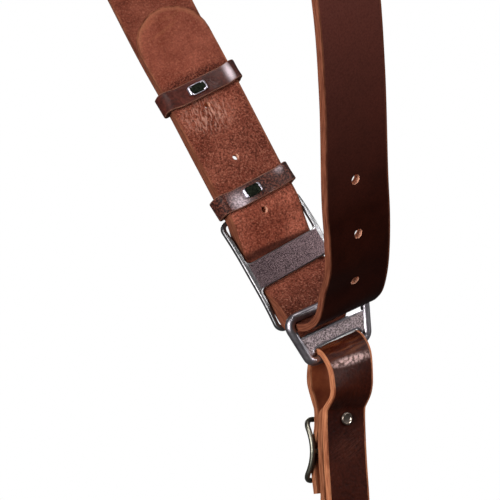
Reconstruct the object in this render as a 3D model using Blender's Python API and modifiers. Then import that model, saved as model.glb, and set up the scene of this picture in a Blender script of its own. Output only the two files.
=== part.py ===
"""Leather camera sling: a wide strap through a slide buckle and a hanging ring, with a narrow leash below.

Metres, +Z up. The origin is the inner face of the strap at the top of the loop, where it lies on the shoulder.
The loop is planar and leans sideways. Its own frame has x across the strap, y from front to back and z up the
plane, with zero at the middle of the ring's top bar.
"""

from math import ceil, cos, pi, radians, sin, tan

import bmesh
import bpy
from mathutils import Matrix, Vector

for old in list(bpy.data.objects):
    bpy.data.objects.remove(old, do_unlink=True)

MM = 0.001

# The gap that neighbouring pieces keep, and the wider one where leather bends over metal
gap = 0.3 * MM
bend_gap = 0.6 * MM

# Wide strap
strap_width = 38 * MM
strap_thickness = 3.4 * MM
strap_edge_round = 0.7 * MM
strap_tip_length = 19 * MM
hole_diameter = 3.2 * MM
hole_pitch = 29.5 * MM
far_hole_start = 24.9 * MM
near_hole_start = 39 * MM
hole_aside = 1.4 * MM
tongue_length = 139 * MM
tail_length = 43.5 * MM
tail_shift = 1.8 * MM

# The loop that the wide strap makes
loop_height = 600 * MM
loop_half_depth = 125 * MM
loop_lean = radians(20.5)
far_lean = radians(21.5)
slide_twist = radians(5)
top_twist = radians(16)

# Slide buckle on the far run
slide_rise = 24.5 * MM
slide_back = 21.5 * MM
slide_length = 61 * MM
slide_bar_width = 2.4 * MM
slide_bar_depth = 2.8 * MM
slide_side_play = 1.6 * MM
slide_plate_height = 14 * MM
slide_corner = 5 * MM
slide_bow = 2.5 * MM
slide_skew = radians(1.5)
slide_plate_slant = radians(3.5)
slide_drop = 1.4 * MM
slide_edge_round = 0.45 * MM

# Leather keepers and their clips
keeper_width = 10 * MM
keeper_wall = 2.4 * MM
keeper_play = 1.1 * MM
keeper_corner = 2.4 * MM
keeper_clear = 2.1 * MM
keeper_spacing = 57.8 * MM
keeper_edge_round = 0.53 * MM
keeper_upper_bow = 0.8 * MM
keeper_lower_bow = 0.2 * MM
keeper_upper_skew = radians(4)
keeper_lower_skew = radians(6)
clip_off_middle = 2.5 * MM
clip_length = 10.5 * MM
clip_height = 5.4 * MM
clip_thickness = 1.8 * MM
clip_corner = 1.6 * MM
clip_edge_round = 0.45 * MM

# Ring
ring_wire_radius = 2.3 * MM
ring_side_play = 2.4 * MM
ring_slot = 7.9 * MM
ring_plate_height = 7.4 * MM
ring_plate_side_height = 10 * MM
ring_plate_thickness = 2.4 * MM
ring_leash_slot = 3.7 * MM
ring_arch_play = 1.7 * MM
ring_arch_corner = 2.5 * MM
ring_corner = 4.2 * MM

# Leash
leash_width = 25 * MM
leash_thickness = 2.8 * MM
leash_edge_round = 0.6 * MM
leash_tip_length = 8 * MM
rivet_drop = 33 * MM
rivet_head_radius = 3.2 * MM
rivet_head_height = 1.1 * MM
rivet_shank_radius = 1.5 * MM
leash_turn = radians(8)

# Small bowed buckle behind the leash
leash_buckle_drop = 48.5 * MM
leash_buckle_length = 32 * MM
leash_buckle_wire_radius = 1.3 * MM
leash_buckle_bar_radius = 1.22 * MM
leash_buckle_side_play = 0.9 * MM
leash_buckle_flare = 6.0 * MM

# End clasp
clasp_drop = 92 * MM
clasp_wire_radius = 2.0 * MM
clasp_eye_height = 8.4 * MM
clasp_side_play = 2.4 * MM
clasp_neck_radius = 3.0 * MM
clasp_neck_length = 9 * MM
clasp_loop_width = 17 * MM
clasp_loop_height = 27 * MM

# Where the keepers sit, up from the slide's top end
keeper_lower_along = slide_length / 2 - slide_drop + keeper_width / 2 + keeper_clear
keeper_upper_along = keeper_lower_along + keeper_spacing

# How finely bends are cut into flat sections, and which edges stay sharp
section_turn = radians(8)
section_step = 18 * MM
sharp_angle = radians(35)
band_sharp_angle = radians(50)
round_from_angle = radians(40)
clean_corner_angle = radians(55)

parts = bpy.data.collections.new("camera_sling")
cutters = bpy.data.collections.new("cutters")
cutters.hide_render = True
for collection in (parts, cutters):
    bpy.context.scene.collection.children.link(collection)


def material(name, colour, roughness, metallic=0.0):
    made = bpy.data.materials.new(name)
    made.use_nodes = True
    shader = made.node_tree.nodes["Principled BSDF"]
    shader.inputs["Base Color"].default_value = (*colour, 1.0)
    shader.inputs["Roughness"].default_value = roughness
    shader.inputs["Metallic"].default_value = metallic
    return made


wide_leather = material("wide_leather", (0.16, 0.045, 0.028), 0.5)
keeper_leather = material("keeper_leather", (0.045, 0.012, 0.012), 0.25)
leash_leather = material("leash_leather", (0.10, 0.028, 0.014), 0.35)
clip_metal = material("clip_metal", (0.35, 0.34, 0.33), 0.25, 1.0)
slide_metal = material("slide_metal", (0.13, 0.12, 0.13), 0.45, 1.0)
ring_metal = material("ring_metal", (0.42, 0.41, 0.43), 0.2, 1.0)
rivet_metal = material("rivet_metal", (0.38, 0.35, 0.33), 0.35, 1.0)
small_metal = material("small_metal", (0.2, 0.19, 0.19), 0.4, 1.0)
clasp_metal = material("clasp_metal", (0.36, 0.35, 0.36), 0.3, 1.0)


def place(name, mesh, look, parent=None, sharp=sharp_angle):
    """An object for a mesh, in the parts collection."""
    made = bpy.data.objects.new(name, mesh)
    parts.objects.link(made)
    mesh.materials.clear()
    mesh.materials.append(look)
    mesh.shade_smooth()
    mesh.set_sharp_from_angle(angle=sharp)
    made.parent = parent
    return made


def frame(name, location, rotation, parent=None):
    """An empty that carries the pieces of one local frame."""
    made = bpy.data.objects.new(name, None)
    parts.objects.link(made)
    made.location = location
    made.rotation_euler = rotation
    made.parent = parent
    return made


def mesh_of(bm, name):
    bmesh.ops.recalc_face_normals(bm, faces=bm.faces)
    mesh = bpy.data.meshes.new(name)
    bm.to_mesh(mesh)
    bm.free()
    return mesh


def bevel(target, width, angle=round_from_angle):
    edge = target.modifiers.new("rounded edges", "BEVEL")
    edge.width = width
    edge.segments = 1
    edge.limit_method = "ANGLE"
    edge.angle_limit = angle
    edge.use_clamp_overlap = True
    return edge


def union(target, tool):
    join = target.modifiers.new("join " + tool.name, "BOOLEAN")
    join.operation = "UNION"
    join.solver = "EXACT"
    join.object = tool
    hide(tool)


def cut(target, tool):
    hole = target.modifiers.new("cut " + tool.name, "BOOLEAN")
    hole.operation = "DIFFERENCE"
    hole.solver = "EXACT"
    hole.object = tool
    hide(tool)


def hide(tool):
    """Moves a cutter or a joined shape to the cutters' collection."""
    for held_by in list(tool.users_collection):
        held_by.objects.unlink(tool)
    cutters.objects.link(tool)
    tool.hide_render = True
    tool.display_type = "WIRE"


def smooth_path(rows, per_row=12):
    """A Catmull-Rom curve through rows of numbers, as many closely spaced rows."""
    rows = [Vector(row) for row in rows]
    rows = [rows[0] * 2 - rows[1]] + rows + [rows[-1] * 2 - rows[-2]]
    path = []
    for a, b, c, d in zip(rows, rows[1:], rows[2:], rows[3:]):
        for step in range(per_row):
            t = step / per_row
            path.append(
                (b * 2 + (c - a) * t + (a * 2 - b * 5 + c * 4 - d) * t**2 + (b * 3 - a - c * 3 + d) * t**3) / 2
            )
    path.append(rows[-2])
    return path


class Route:
    """A strap's middle line, read by the length from its start. Rows are x, y, z and a twist about the line."""

    def __init__(self, rows):
        self.rows = smooth_path(rows)
        self.lengths = [0.0]
        for a, b in zip(self.rows, self.rows[1:]):
            self.lengths.append(self.lengths[-1] + (b - a).xyz.length)
        self.length = self.lengths[-1]

    def row(self, length):
        length = min(max(length, 0.0), self.length)
        i = 0
        while i < len(self.lengths) - 2 and self.lengths[i + 1] < length:
            i += 1
        share = (length - self.lengths[i]) / (self.lengths[i + 1] - self.lengths[i])
        return self.rows[i].lerp(self.rows[i + 1], share)

    def direction(self, length):
        reach = 0.2 * MM
        return (self.row(length + reach) - self.row(length - reach)).xyz.normalized()

    def across(self, length):
        along = self.direction(length)
        level = Vector((0, along.y, along.z)).normalized()
        return Matrix.Rotation(self.row(length).w, 3, level) @ Vector((1, 0, 0))

    def point(self, length):
        return self.row(length).xyz

    def nearest(self, point):
        """The length at which the line passes closest to a point."""
        best = min(range(len(self.rows)), key=lambda i: (self.rows[i].xyz - point).length)
        return self.lengths[best]

    def stations(self, start, end):
        """Lengths that follow the line's bends closely and its straight stretches loosely."""
        found = [start]
        turned = 0.0
        before = self.direction(start)
        step = 0.5 * MM
        for i in range(1, ceil((end - start) / step)):
            here = start + i * step
            now = self.direction(here)
            turned += before.angle(now)
            before = now
            if turned > section_turn or here - found[-1] > section_step:
                found.append(here)
                turned = 0.0
        if end - found[-1] < 2 * MM and len(found) > 1:
            found.pop()
        found.append(end)
        return found


def tip_rows(length):
    """Share of the half width along a round strap end, as pairs of a distance and a share."""
    angles = [radians(a) for a in (10, 26, 42, 58, 74, 90)]
    return [(length * (1 - cos(a)), sin(a)) for a in angles]


def strap_mesh(name, route, width, start_tip, end_tip):
    """The middle surface of a strap with round or square ends."""
    sections = []
    first, last = start_tip, route.length - end_tip
    if start_tip:
        sections += [(reach, share) for reach, share in tip_rows(start_tip)[:-1]]
    sections += [(length, 1.0) for length in route.stations(first, last)]
    if end_tip:
        sections += [(route.length - reach, share) for reach, share in reversed(tip_rows(end_tip)[:-1])]
    bm = bmesh.new()
    edge = None
    for length, share in sections:
        middle = route.point(length)
        reach = route.across(length) * width / 2 * share
        row = [bm.verts.new(middle - reach), bm.verts.new(middle + reach)]
        if edge:
            bm.faces.new((edge[0], edge[1], row[1], row[0]))
        edge = row
    return mesh_of(bm, name)


def thicken(target, thickness, offset=0.0):
    wall = target.modifiers.new("leather wall", "SOLIDIFY")
    wall.thickness = thickness
    wall.offset = offset
    wall.use_even_offset = True
    return wall


# The loop's frame, with its zero at the ring's top bar and the shoulder point at the world's origin
top_bar_drop = Matrix.Rotation(-loop_lean, 3, "Y") @ Vector((0, 0, loop_height))
loop = frame("loop_frame", -top_bar_drop, (0, -loop_lean, 0))

# The far run's frame: z up the run, y out of the loop. Places on it are how far along and how far into the loop
far = frame("far_frame", (0, slide_back, slide_rise), (-far_lean, 0, 0), loop)
stack = 2 * strap_thickness + gap
layer_shift = (strap_thickness + gap) / 2
slide_end = slide_length / 2 - slide_bar_width / 2
stack_under_plate = -(slide_bar_depth / 2 + bend_gap + stack / 2)
stack_over_ends = -slide_bow + slide_bar_depth / 2 + bend_gap + stack / 2


def far_twist(along):
    """The twist of the far run: that of the slide up to the slide's end, then easing to that of the top."""
    share = min(max((along - slide_end) / (tongue_length - slide_end), 0.0), 1.0)
    return slide_twist + (top_twist - slide_twist) * share


def far_row(along, inward, aside=0.0):
    """A route's row in the loop's frame, from places in the far run's twisted frame."""
    twist = far_twist(along)
    level = inward * cos(twist) + aside * sin(twist)
    x = aside * cos(twist) - inward * sin(twist)
    y = slide_back + along * sin(far_lean) - level * cos(far_lean)
    z = slide_rise + along * cos(far_lean) + level * sin(far_lean)
    return (x, y, z, twist)


# Bottom of the U, where the bar rests on the strap's inner face
seat = ring_wire_radius + bend_gap + strap_thickness / 2

# Both layers of the far run pass the same places, from above the tongue's tip to the slide's plate.
# Columns: how far along, how far in, and how far apart the layers are for the slope there
plate_top_edge = slide_plate_height / 2 - slide_drop
plate_low_edge = -slide_plate_height / 2 - slide_drop
layer_places = [
    (tongue_length, stack_over_ends, 1.0),
    (keeper_upper_along, stack_over_ends, 1.0),
    ((keeper_upper_along + keeper_lower_along) / 2, stack_over_ends, 1.0),
    (keeper_lower_along, stack_over_ends, 1.0),
    (slide_end - slide_drop - slide_bar_width, stack_over_ends, 1.05),
    ((slide_end + plate_top_edge) / 2, (stack_over_ends + stack_under_plate) / 2, 1.2),
    (plate_top_edge, stack_under_plate, 1.08),
]
tongue_rows = [far_row(along, inward + layer_shift * apart) for along, inward, apart in layer_places]
tongue_rows.append(far_row(plate_low_edge, stack_under_plate + layer_shift))
back_rows = [far_row(along, inward - layer_shift * apart) for along, inward, apart in layer_places]
tail_on_bar = -slide_bow + slide_bar_depth / 2 + bend_gap + strap_thickness / 2
low_bar = -slide_end - slide_drop
back_rows += [
    far_row(plate_low_edge, stack_under_plate - layer_shift),
    far_row((low_bar + plate_low_edge) / 2, tail_on_bar - strap_thickness * 0.9),
    far_row(low_bar + slide_bar_width, tail_on_bar, -tail_shift / 2),
    far_row((low_bar - tail_length) / 2, tail_on_bar * 0.9, -tail_shift),
    far_row(-tail_length, -strap_thickness * 0.5, -tail_shift),
]

# The U, as shares of the slide's distance behind the bar and of its height above the U
u_shares = (
    (0.56, 0.38),
    (0.30, 0.11),
    (0.0, 0.0),
    (-0.42, 0.015),
    (-0.72, 0.08),
    (-1.08, 0.24),
    (-1.50, 0.59),
)
u_rows = [(0, slide_back * y, -seat + (slide_rise + seat) * z, slide_twist * y) for y, z in u_shares[:3]]
u_rows += [(0, slide_back * y, -seat + (slide_rise + seat) * z, 0) for y, z in u_shares[3:]]

# The near run and the way over the shoulder, as shares of the loop's half depth and height, twist in degrees
run_shares = (
    (-0.346, 0.0413, 3),
    (-0.41, 0.067, 5),
    (-0.48, 0.10, 6),
    (-0.655, 0.178, 9),
    (-0.79, 0.2525, 9),
    (-0.935, 0.37, 6),
    (-1.0, 0.52, 2),
    (-0.98, 0.70, 0),
    (-0.83, 0.86, 0),
    (-0.50, 0.965, 0),
    (0.0, 1.0, 0),
    (0.50, 0.965, 0),
    (0.82, 0.87, 2),
    (0.95, 0.73, 5),
    (0.95, 0.57, 9),
    (0.83, 0.42, 13),
)
half_wall = strap_thickness / 2
run_rows = [
    (0, loop_half_depth * y, loop_height * z + half_wall * z, radians(twist)) for y, z, twist in run_shares
]
sling_route = Route(tongue_rows + u_rows + run_rows + back_rows)

sling = place(
    "sling_strap",
    strap_mesh("sling_strap", sling_route, strap_width, strap_tip_length, strap_tip_length),
    wide_leather,
    loop,
)
thicken(sling, strap_thickness)
bevel(sling, strap_edge_round)


def hole_cutter(name, centre, direction, reach):
    """A cylinder through the strap, wider in reach than the leather."""
    bm = bmesh.new()
    bmesh.ops.create_cone(
        bm, cap_ends=True, segments=12, radius1=hole_diameter / 2, radius2=hole_diameter / 2, depth=reach
    )
    tool = place(name, mesh_of(bm, name), wide_leather, loop)
    tool.location = centre
    tool.rotation_mode = "QUATERNION"
    tool.rotation_quaternion = direction.to_track_quat("Z", "Y")
    cut(sling, tool)


# Three holes through both layers of the far run
for count in range(3):
    along = far_hole_start + hole_pitch * count
    inner = Vector(far_row(along, stack_over_ends + stack, -hole_aside)[:3])
    outer = Vector(far_row(along, stack_over_ends - stack, -hole_aside)[:3])
    hole_cutter("far_hole_%d" % (count + 1), (inner + outer) / 2, outer - inner, 2 * stack)

# Three holes in the near run
u_middle = sling_route.nearest(Vector((0, 0, -seat)))
for count in range(3):
    length = u_middle + near_hole_start + hole_pitch * count
    out = sling_route.direction(length).cross(sling_route.across(length))
    hole_cutter("near_hole_%d" % (count + 1), sling_route.point(length), out, 3 * strap_thickness)


def band_mesh(name, half_x, half_y, corner, width, bow):
    """The inner face of a keeper: a rounded rectangle in x and y, with its front, at low y, bowed out."""
    outline = []
    for centre_x, centre_y, first in ((1, 1, 0), (-1, 1, 90), (-1, -1, 180), (1, -1, 270)):
        for step in range(4):
            angle = radians(first + 30 * step)
            x = centre_x * (half_x - corner) + corner * cos(angle)
            y = centre_y * (half_y - corner) + corner * sin(angle)
            outline.append((x, y))
        if centre_x < 0 and centre_y < 0:
            outline += [(half_x * share, -half_y) for share in (-0.5, -0.2, 0.2, 0.5)]
    bm = bmesh.new()
    rings = []
    for z in (-width / 2, width / 2):
        ring_verts = []
        for x, y in outline:
            push = bow * max(0.0, 1 - (x / half_x) ** 2) if y < 0 else 0.0
            ring_verts.append(bm.verts.new((x, y - push, z)))
        rings.append(ring_verts)
    for i in range(len(outline)):
        j = (i + 1) % len(outline)
        bm.faces.new((rings[0][i], rings[0][j], rings[1][j], rings[1][i]))
    return mesh_of(bm, name)


def keeper(name, along, bow, skew):
    """A leather band round both layers, with its oblong clip on the front."""
    half_x = strap_width / 2 + keeper_play
    half_y = stack / 2 + keeper_play
    twist = far_twist(along)
    seat_at = (-stack_over_ends * sin(twist), -stack_over_ends * cos(twist), along)
    seat_frame = frame(name + "_frame", seat_at, (0, -skew, -twist), far)
    band = place(
        name,
        band_mesh(name, half_x, half_y, keeper_corner, keeper_width, bow),
        keeper_leather,
        seat_frame,
        band_sharp_angle,
    )
    thicken(band, keeper_wall, 1.0)
    bevel(band, keeper_edge_round, clean_corner_angle)
    bm = bmesh.new()
    bmesh.ops.create_cube(bm, size=1.0)
    bmesh.ops.scale(bm, vec=(clip_length, clip_thickness, clip_height), verts=bm.verts)
    corners = [e for e in bm.edges if abs(e.verts[0].co.y - e.verts[1].co.y) > clip_thickness / 2]
    bmesh.ops.bevel(bm, geom=corners, offset=clip_corner, segments=3, affect="EDGES", profile=0.5)
    clip = place(name + "_clip", mesh_of(bm, name + "_clip"), clip_metal, seat_frame)
    clip.location = (-clip_off_middle, -(half_y + bow + keeper_wall + gap + clip_thickness / 2), 0)
    bevel(clip, clip_edge_round, clean_corner_angle)


keeper("keeper_upper", keeper_upper_along, keeper_upper_bow, keeper_upper_skew)
keeper("keeper_lower", keeper_lower_along, keeper_lower_bow, keeper_lower_skew)


def rounded_outline(half_x, low, high, corner, step):
    """Points round a rectangle with round corners, spaced closely on its long sides."""
    outline = []
    middles = ((half_x - corner, high - corner, 0), (corner - half_x, high - corner, 90))
    middles += ((corner - half_x, low + corner, 180), (half_x - corner, low + corner, 270))
    for x, z, first in middles:
        for turn in range(5):
            angle = radians(first + 22.5 * turn)
            outline.append((x + corner * cos(angle), z + corner * sin(angle)))
        rows = ceil((high - low - 2 * corner) / step)
        side = x - corner if first == 90 else x + corner
        if first == 90:
            outline += [(side, z - (high - low - 2 * corner) * i / rows) for i in range(1, rows)]
        if first == 270:
            outline += [(side, z + (high - low - 2 * corner) * i / rows) for i in range(1, rows)]
    return outline


def flat_curve(name, outlines, thickness):
    """A flat plate with windows, from closed outlines in x and y, as a mesh."""
    data = bpy.data.curves.new(name, "CURVE")
    data.dimensions = "2D"
    data.fill_mode = "BOTH"
    data.extrude = thickness / 2
    for outline in outlines:
        spline = data.splines.new("POLY")
        spline.points.add(len(outline) - 1)
        for point, (x, y) in zip(spline.points, outline):
            point.co = (x, y, 0, 1)
        spline.use_cyclic_u = True
    return curve_mesh(name, data)


def curve_mesh(name, data):
    """A curve's own mesh, with its caps welded. The curve is removed."""
    helper = bpy.data.objects.new(name + "_curve", data)
    bpy.context.scene.collection.objects.link(helper)
    graph = bpy.context.evaluated_depsgraph_get()
    mesh = bpy.data.meshes.new_from_object(helper.evaluated_get(graph))
    bpy.data.objects.remove(helper, do_unlink=True)
    bm = bmesh.new()
    bm.from_mesh(mesh)
    bmesh.ops.remove_doubles(bm, verts=bm.verts, dist=0.01 * MM)
    bm.to_mesh(mesh)
    bm.free()
    mesh.name = name
    return mesh


def wire_mesh(name, points, radius, closed=True, resolution=1):
    """A round wire along points, as a mesh."""
    data = bpy.data.curves.new(name, "CURVE")
    data.dimensions = "3D"
    data.bevel_depth = radius
    data.bevel_resolution = resolution
    data.use_fill_caps = True
    spline = data.splines.new("POLY")
    spline.points.add(len(points) - 1)
    for point, place_at in zip(spline.points, points):
        point.co = (*place_at, 1)
    spline.use_cyclic_u = closed
    return curve_mesh(name, data)


# Slide buckle: one casting with two windows, bowed so that its plate stands off its end bars
slide_half_x = strap_width / 2 + slide_side_play + slide_bar_width
window_half_x = slide_half_x - slide_bar_width
window_corner = slide_corner - slide_bar_width
plate_half = slide_plate_height / 2
window_end = slide_length / 2 - slide_bar_width
side_step = slide_length / 12
slide_mesh = flat_curve(
    "slide_buckle",
    (
        rounded_outline(slide_half_x, -slide_length / 2, slide_length / 2, slide_corner, side_step),
        rounded_outline(window_half_x, plate_half, window_end, window_corner, side_step),
        rounded_outline(window_half_x, -window_end, -plate_half, window_corner, side_step),
    ),
    slide_bar_depth,
)
for vertex in slide_mesh.vertices:
    x, along, depth = vertex.co
    bend = slide_bow * max(0.0, abs(along) - plate_half) ** 2 / (slide_end - plate_half) ** 2
    slant = x * tan(slide_plate_slant) * max(0.0, 1 - abs(along) / window_end)
    vertex.co = (x, bend - depth, along + slant)
slide_buckle = place("slide_buckle", slide_mesh, slide_metal, far)
slide_buckle.location = (0, 0, -slide_drop)
slide_buckle.rotation_euler = (0, -slide_skew, -slide_twist)
bevel(slide_buckle, slide_edge_round, clean_corner_angle)


def ring_half_x(drop):
    """Half the ring's width between wire centres, at a distance below the top bar."""
    wide = strap_width / 2 + ring_side_play + ring_wire_radius
    narrow = leash_width / 2 + ring_side_play + ring_wire_radius
    return wide + (narrow - wide) * drop / ring_drop


plate_top = ring_wire_radius + ring_slot
plate_bottom = plate_top + ring_plate_height
ring_drop = plate_bottom + ring_leash_slot + ring_wire_radius


def rounded_corners(corners, radius, segments=4):
    """A closed outline with its corners turned at a radius."""
    points = []
    count = len(corners)
    for i in range(count):
        here = Vector(corners[i])
        before = (Vector(corners[i - 1]) - here).normalized()
        after = (Vector(corners[(i + 1) % count]) - here).normalized()
        half = before.angle(after) / 2
        middle = here + (before + after).normalized() * radius / sin(half)
        reach = radius / sin(half) * cos(half)
        start = (here + before * reach - middle).normalized()
        end = (here + after * reach - middle).normalized()
        for step in range(segments + 1):
            points.append(tuple(middle + start.slerp(end, step / segments) * radius))
    return points


ring_corners = [
    (-ring_half_x(0), 0, 0),
    (ring_half_x(0), 0, 0),
    (ring_half_x(ring_drop), 0, -ring_drop),
    (-ring_half_x(ring_drop), 0, -ring_drop),
]
ring = place(
    "ring", wire_mesh("ring", rounded_corners(ring_corners, ring_corner), ring_wire_radius), ring_metal, loop
)
# The plate's lower edge arches over the leash, and its sides run on down the ring's side bars
arch_half = leash_width / 2 + ring_arch_play
plate_foot = plate_top + ring_plate_side_height
arch_turns = [radians(15 * step) for step in range(7)]
half_arch = [
    (
        arch_half - ring_arch_corner * (1 - cos(angle)),
        -plate_bottom - ring_arch_corner * (1 - sin(angle)),
    )
    for angle in arch_turns
]
half_plate = [(ring_half_x(plate_top), -plate_top), (ring_half_x(plate_foot), -plate_foot), (arch_half, -plate_foot)]
half_plate += half_arch
cross_plate = flat_curve(
    "ring_plate", (half_plate + [(-x, z) for x, z in reversed(half_plate)],), ring_plate_thickness
)
plate_piece = place("ring_plate", cross_plate, ring_metal, loop)
plate_piece.rotation_euler = (pi / 2, 0, 0)
union(ring, plate_piece)

# The leash hangs plumb from the middle of the ring's bottom bar, its width easing from the bar's slope to level
bar_middle = loop.location + Matrix.Rotation(-loop_lean, 3, "Y") @ Vector((0, 0, -ring_drop))
leash_frame = frame("leash_frame", bar_middle, (0, 0, 0))
leash_seat = ring_wire_radius + gap + leash_thickness / 2
leash_layer = leash_thickness + gap
middle_y = -0.3 * MM
front_y = middle_y - leash_layer
rear_y = middle_y + leash_layer
clasp_seat = clasp_wire_radius + gap + leash_thickness / 2
buckle_bar_y = middle_y + leash_thickness / 2 + gap + leash_buckle_wire_radius
bowed_rear_y = buckle_bar_y + leash_buckle_wire_radius + gap + leash_thickness / 2
clasp_y = front_y
buckle_end = leash_buckle_drop + leash_buckle_length / 2
rivet_flat = rivet_head_radius * 1.3

# Columns: y, z
leash_rows = [
    (rear_y + leash_thickness * 0.1, -buckle_end - leash_thickness * 1.6),
    (bowed_rear_y - leash_thickness * 0.2, -leash_buckle_drop - leash_buckle_length * 0.28),
    (bowed_rear_y, -leash_buckle_drop),
    ((rear_y + bowed_rear_y) / 2, -(leash_buckle_drop + rivet_drop + rivet_flat) / 2),
    (rear_y, -rivet_drop - rivet_flat),
    (rear_y, -rivet_drop + rivet_flat),
    (rear_y + leash_thickness * 0.6, -rivet_drop * 0.73),
    (rear_y + leash_thickness * 2.0, -rivet_drop * 0.42),
    (rear_y + leash_thickness * 2.6, -rivet_drop * 0.18),
    (rear_y + leash_thickness * 2.0, -leash_seat * 0.1),
    (rear_y + leash_thickness * 0.7, leash_seat * 0.75),
    (0, leash_seat),
    (-leash_seat * 0.9, leash_seat * 0.55),
    (-leash_seat * 1.55, -leash_seat * 0.6),
    (-leash_seat * 2.1, -leash_seat * 2.2),
    (-leash_seat * 2.3, -rivet_drop * 0.5),
    (front_y - leash_thickness * 1.6, -rivet_drop * 0.66),
    (front_y - leash_thickness * 0.4, -rivet_drop * 0.8),
    (front_y, -rivet_drop + rivet_flat),
    (front_y, -rivet_drop - rivet_flat),
    (front_y - leash_thickness * 0.4, -leash_buckle_drop * 1.1),
    (front_y - leash_thickness * 1.0, -leash_buckle_drop * 1.45),
    (clasp_y - clasp_seat * 0.95, -clasp_drop + clasp_seat * 2.6),
    (clasp_y - clasp_seat, -clasp_drop),
    (clasp_y - clasp_seat * 0.71, -clasp_drop - clasp_seat * 0.71),
    (clasp_y, -clasp_drop - clasp_seat),
    (clasp_y + clasp_seat * 0.71, -clasp_drop - clasp_seat * 0.71),
    (clasp_y + clasp_seat, -clasp_drop),
    (clasp_y + clasp_seat * 0.95, -clasp_drop + clasp_seat * 2.0),
    (middle_y - leash_thickness * 0.6, -leash_buckle_drop * 1.45),
    (middle_y, -leash_buckle_drop),
    (middle_y, -rivet_drop),
    (middle_y + leash_thickness * 0.3, -rivet_drop * 0.74),
]
leash_route = Route([(0, y, z, 0) for y, z in leash_rows])


def leash_tilt(z):
    """How far the leash's width slopes at a height: as the bar at the top, level from the rivet down."""
    share = min(max(-z / rivet_drop, 0.0), 1.0)
    return loop_lean * (1 - share) ** 2 * (1 + 2 * share)


def leash_yaw(z):
    """How far the leash has turned about the plumb line at a height."""
    return leash_turn * min(max(-z / (rivet_drop * 0.5), 0.0), 1.0)


def hang(mesh):
    """Turns each point of a leash piece about the bar's middle, square to the bar above it and plumb below it."""
    for vertex in mesh.vertices:
        height = vertex.co.z
        square = height * (1 - min(max(-height / (rivet_drop * 0.5), 0.0), 1.0)) ** 2
        turn = Matrix.Rotation(leash_yaw(height), 3, "Z") @ Matrix.Rotation(-leash_tilt(height), 3, "Y")
        vertex.co = turn @ Vector((vertex.co.x, vertex.co.y, square)) + Vector((0, 0, height - square))


leash_mesh = strap_mesh("leash_strap", leash_route, leash_width, 0.0, leash_tip_length)
hang(leash_mesh)
leash = place("leash_strap", leash_mesh, leash_leather, leash_frame)
thicken(leash, leash_thickness)
bevel(leash, leash_edge_round)

# Below this height the leash and all on it turn as one, so the pieces there share one frame
leash_low = frame("leash_low_frame", (0, 0, 0), (0, 0, leash_turn), leash_frame)

# Rivet through the three layers, a turned profile about y
rivet_half = 1.5 * leash_thickness + gap
profile = [(0, rivet_half + gap + rivet_head_height)]
for step in range(1, 5):
    angle = radians(90 - step * 18)
    profile.append((rivet_head_radius * cos(angle), rivet_half + gap + rivet_head_height * sin(angle)))
profile.append((rivet_head_radius, rivet_half + gap))
profile.append((rivet_shank_radius, rivet_half + gap))
profile += [(x, -z) for x, z in reversed(profile)]
bm = bmesh.new()
points = [bm.verts.new((x, 0, z)) for x, z in profile]
for a, b in zip(points, points[1:]):
    bm.edges.new((a, b))
mesh = bpy.data.meshes.new("leash_rivet")
bm.to_mesh(mesh)
bm.free()
rivet = place("leash_rivet", mesh, rivet_metal, leash_low)
rivet.location = (0, middle_y, -rivet_drop)
rivet.rotation_euler = (pi / 2, 0, 0)
turned = rivet.modifiers.new("turned", "SCREW")
turned.axis = "Z"
turned.steps = 16
turned.render_steps = 16
turned.use_merge_vertices = True
turned.merge_threshold = 0.00005

bm = bmesh.new()
bore = rivet_shank_radius + gap
bmesh.ops.create_cone(bm, cap_ends=True, segments=12, radius1=bore, radius2=bore, depth=4 * rivet_half)
rivet_hole = place("rivet_hole", mesh_of(bm, "rivet_hole"), leash_leather, leash_low)
rivet_hole.location = rivet.location
rivet_hole.rotation_euler = (pi / 2, 0, 0)
cut(leash, rivet_hole)

# Small bowed buckle: a closed frame whose ends flare to the rear, and a bar across its middle
buckle_half_x = leash_width / 2 + leash_buckle_side_play + leash_buckle_wire_radius
buckle_half_z = leash_buckle_length / 2 - leash_buckle_wire_radius
outline = rounded_outline(
    buckle_half_x, -buckle_half_z, buckle_half_z, 3 * leash_buckle_wire_radius, leash_buckle_length / 6
)
bowed = [(x, leash_buckle_flare * (z / buckle_half_z) ** 2, z) for x, z in outline]
leash_buckle = place("leash_buckle", wire_mesh("leash_buckle", bowed, leash_buckle_wire_radius), small_metal, leash_low)
leash_buckle.location = (0, buckle_bar_y, -leash_buckle_drop)
bar_ends = ((-buckle_half_x, 0, 0), (buckle_half_x, 0, 0))
centre_bar = place(
    "leash_buckle_bar",
    wire_mesh("leash_buckle_bar", bar_ends, leash_buckle_bar_radius, False),
    small_metal,
    leash_low,
)
centre_bar.location = leash_buckle.location
union(leash_buckle, centre_bar)

# End clasp: an eye for the leash, a neck and a closed oval loop, all one piece
eye_half_x = leash_width / 2 + clasp_side_play + clasp_wire_radius
eye_corners = [
    (-eye_half_x, 0, 0),
    (eye_half_x, 0, 0),
    (eye_half_x * 0.8, 0, -clasp_eye_height - clasp_wire_radius),
    (-eye_half_x * 0.8, 0, -clasp_eye_height - clasp_wire_radius),
]
clasp = place(
    "leash_clasp",
    wire_mesh("leash_clasp", rounded_corners(eye_corners, clasp_wire_radius * 1.3, 3), clasp_wire_radius),
    clasp_metal,
    leash_low,
)
clasp.location = (0, clasp_y, -clasp_drop)
neck_top = -clasp_eye_height - clasp_wire_radius
bm = bmesh.new()
bmesh.ops.create_cone(
    bm, cap_ends=True, segments=12, radius1=clasp_neck_radius, radius2=clasp_neck_radius, depth=clasp_neck_length
)
neck = place("clasp_neck", mesh_of(bm, "clasp_neck"), clasp_metal, leash_low)
neck.location = clasp.location + Vector((0, 0, neck_top - clasp_neck_length / 2))
union(clasp, neck)
loop_middle = neck_top - clasp_neck_length - clasp_loop_height / 2 + clasp_wire_radius
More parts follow.
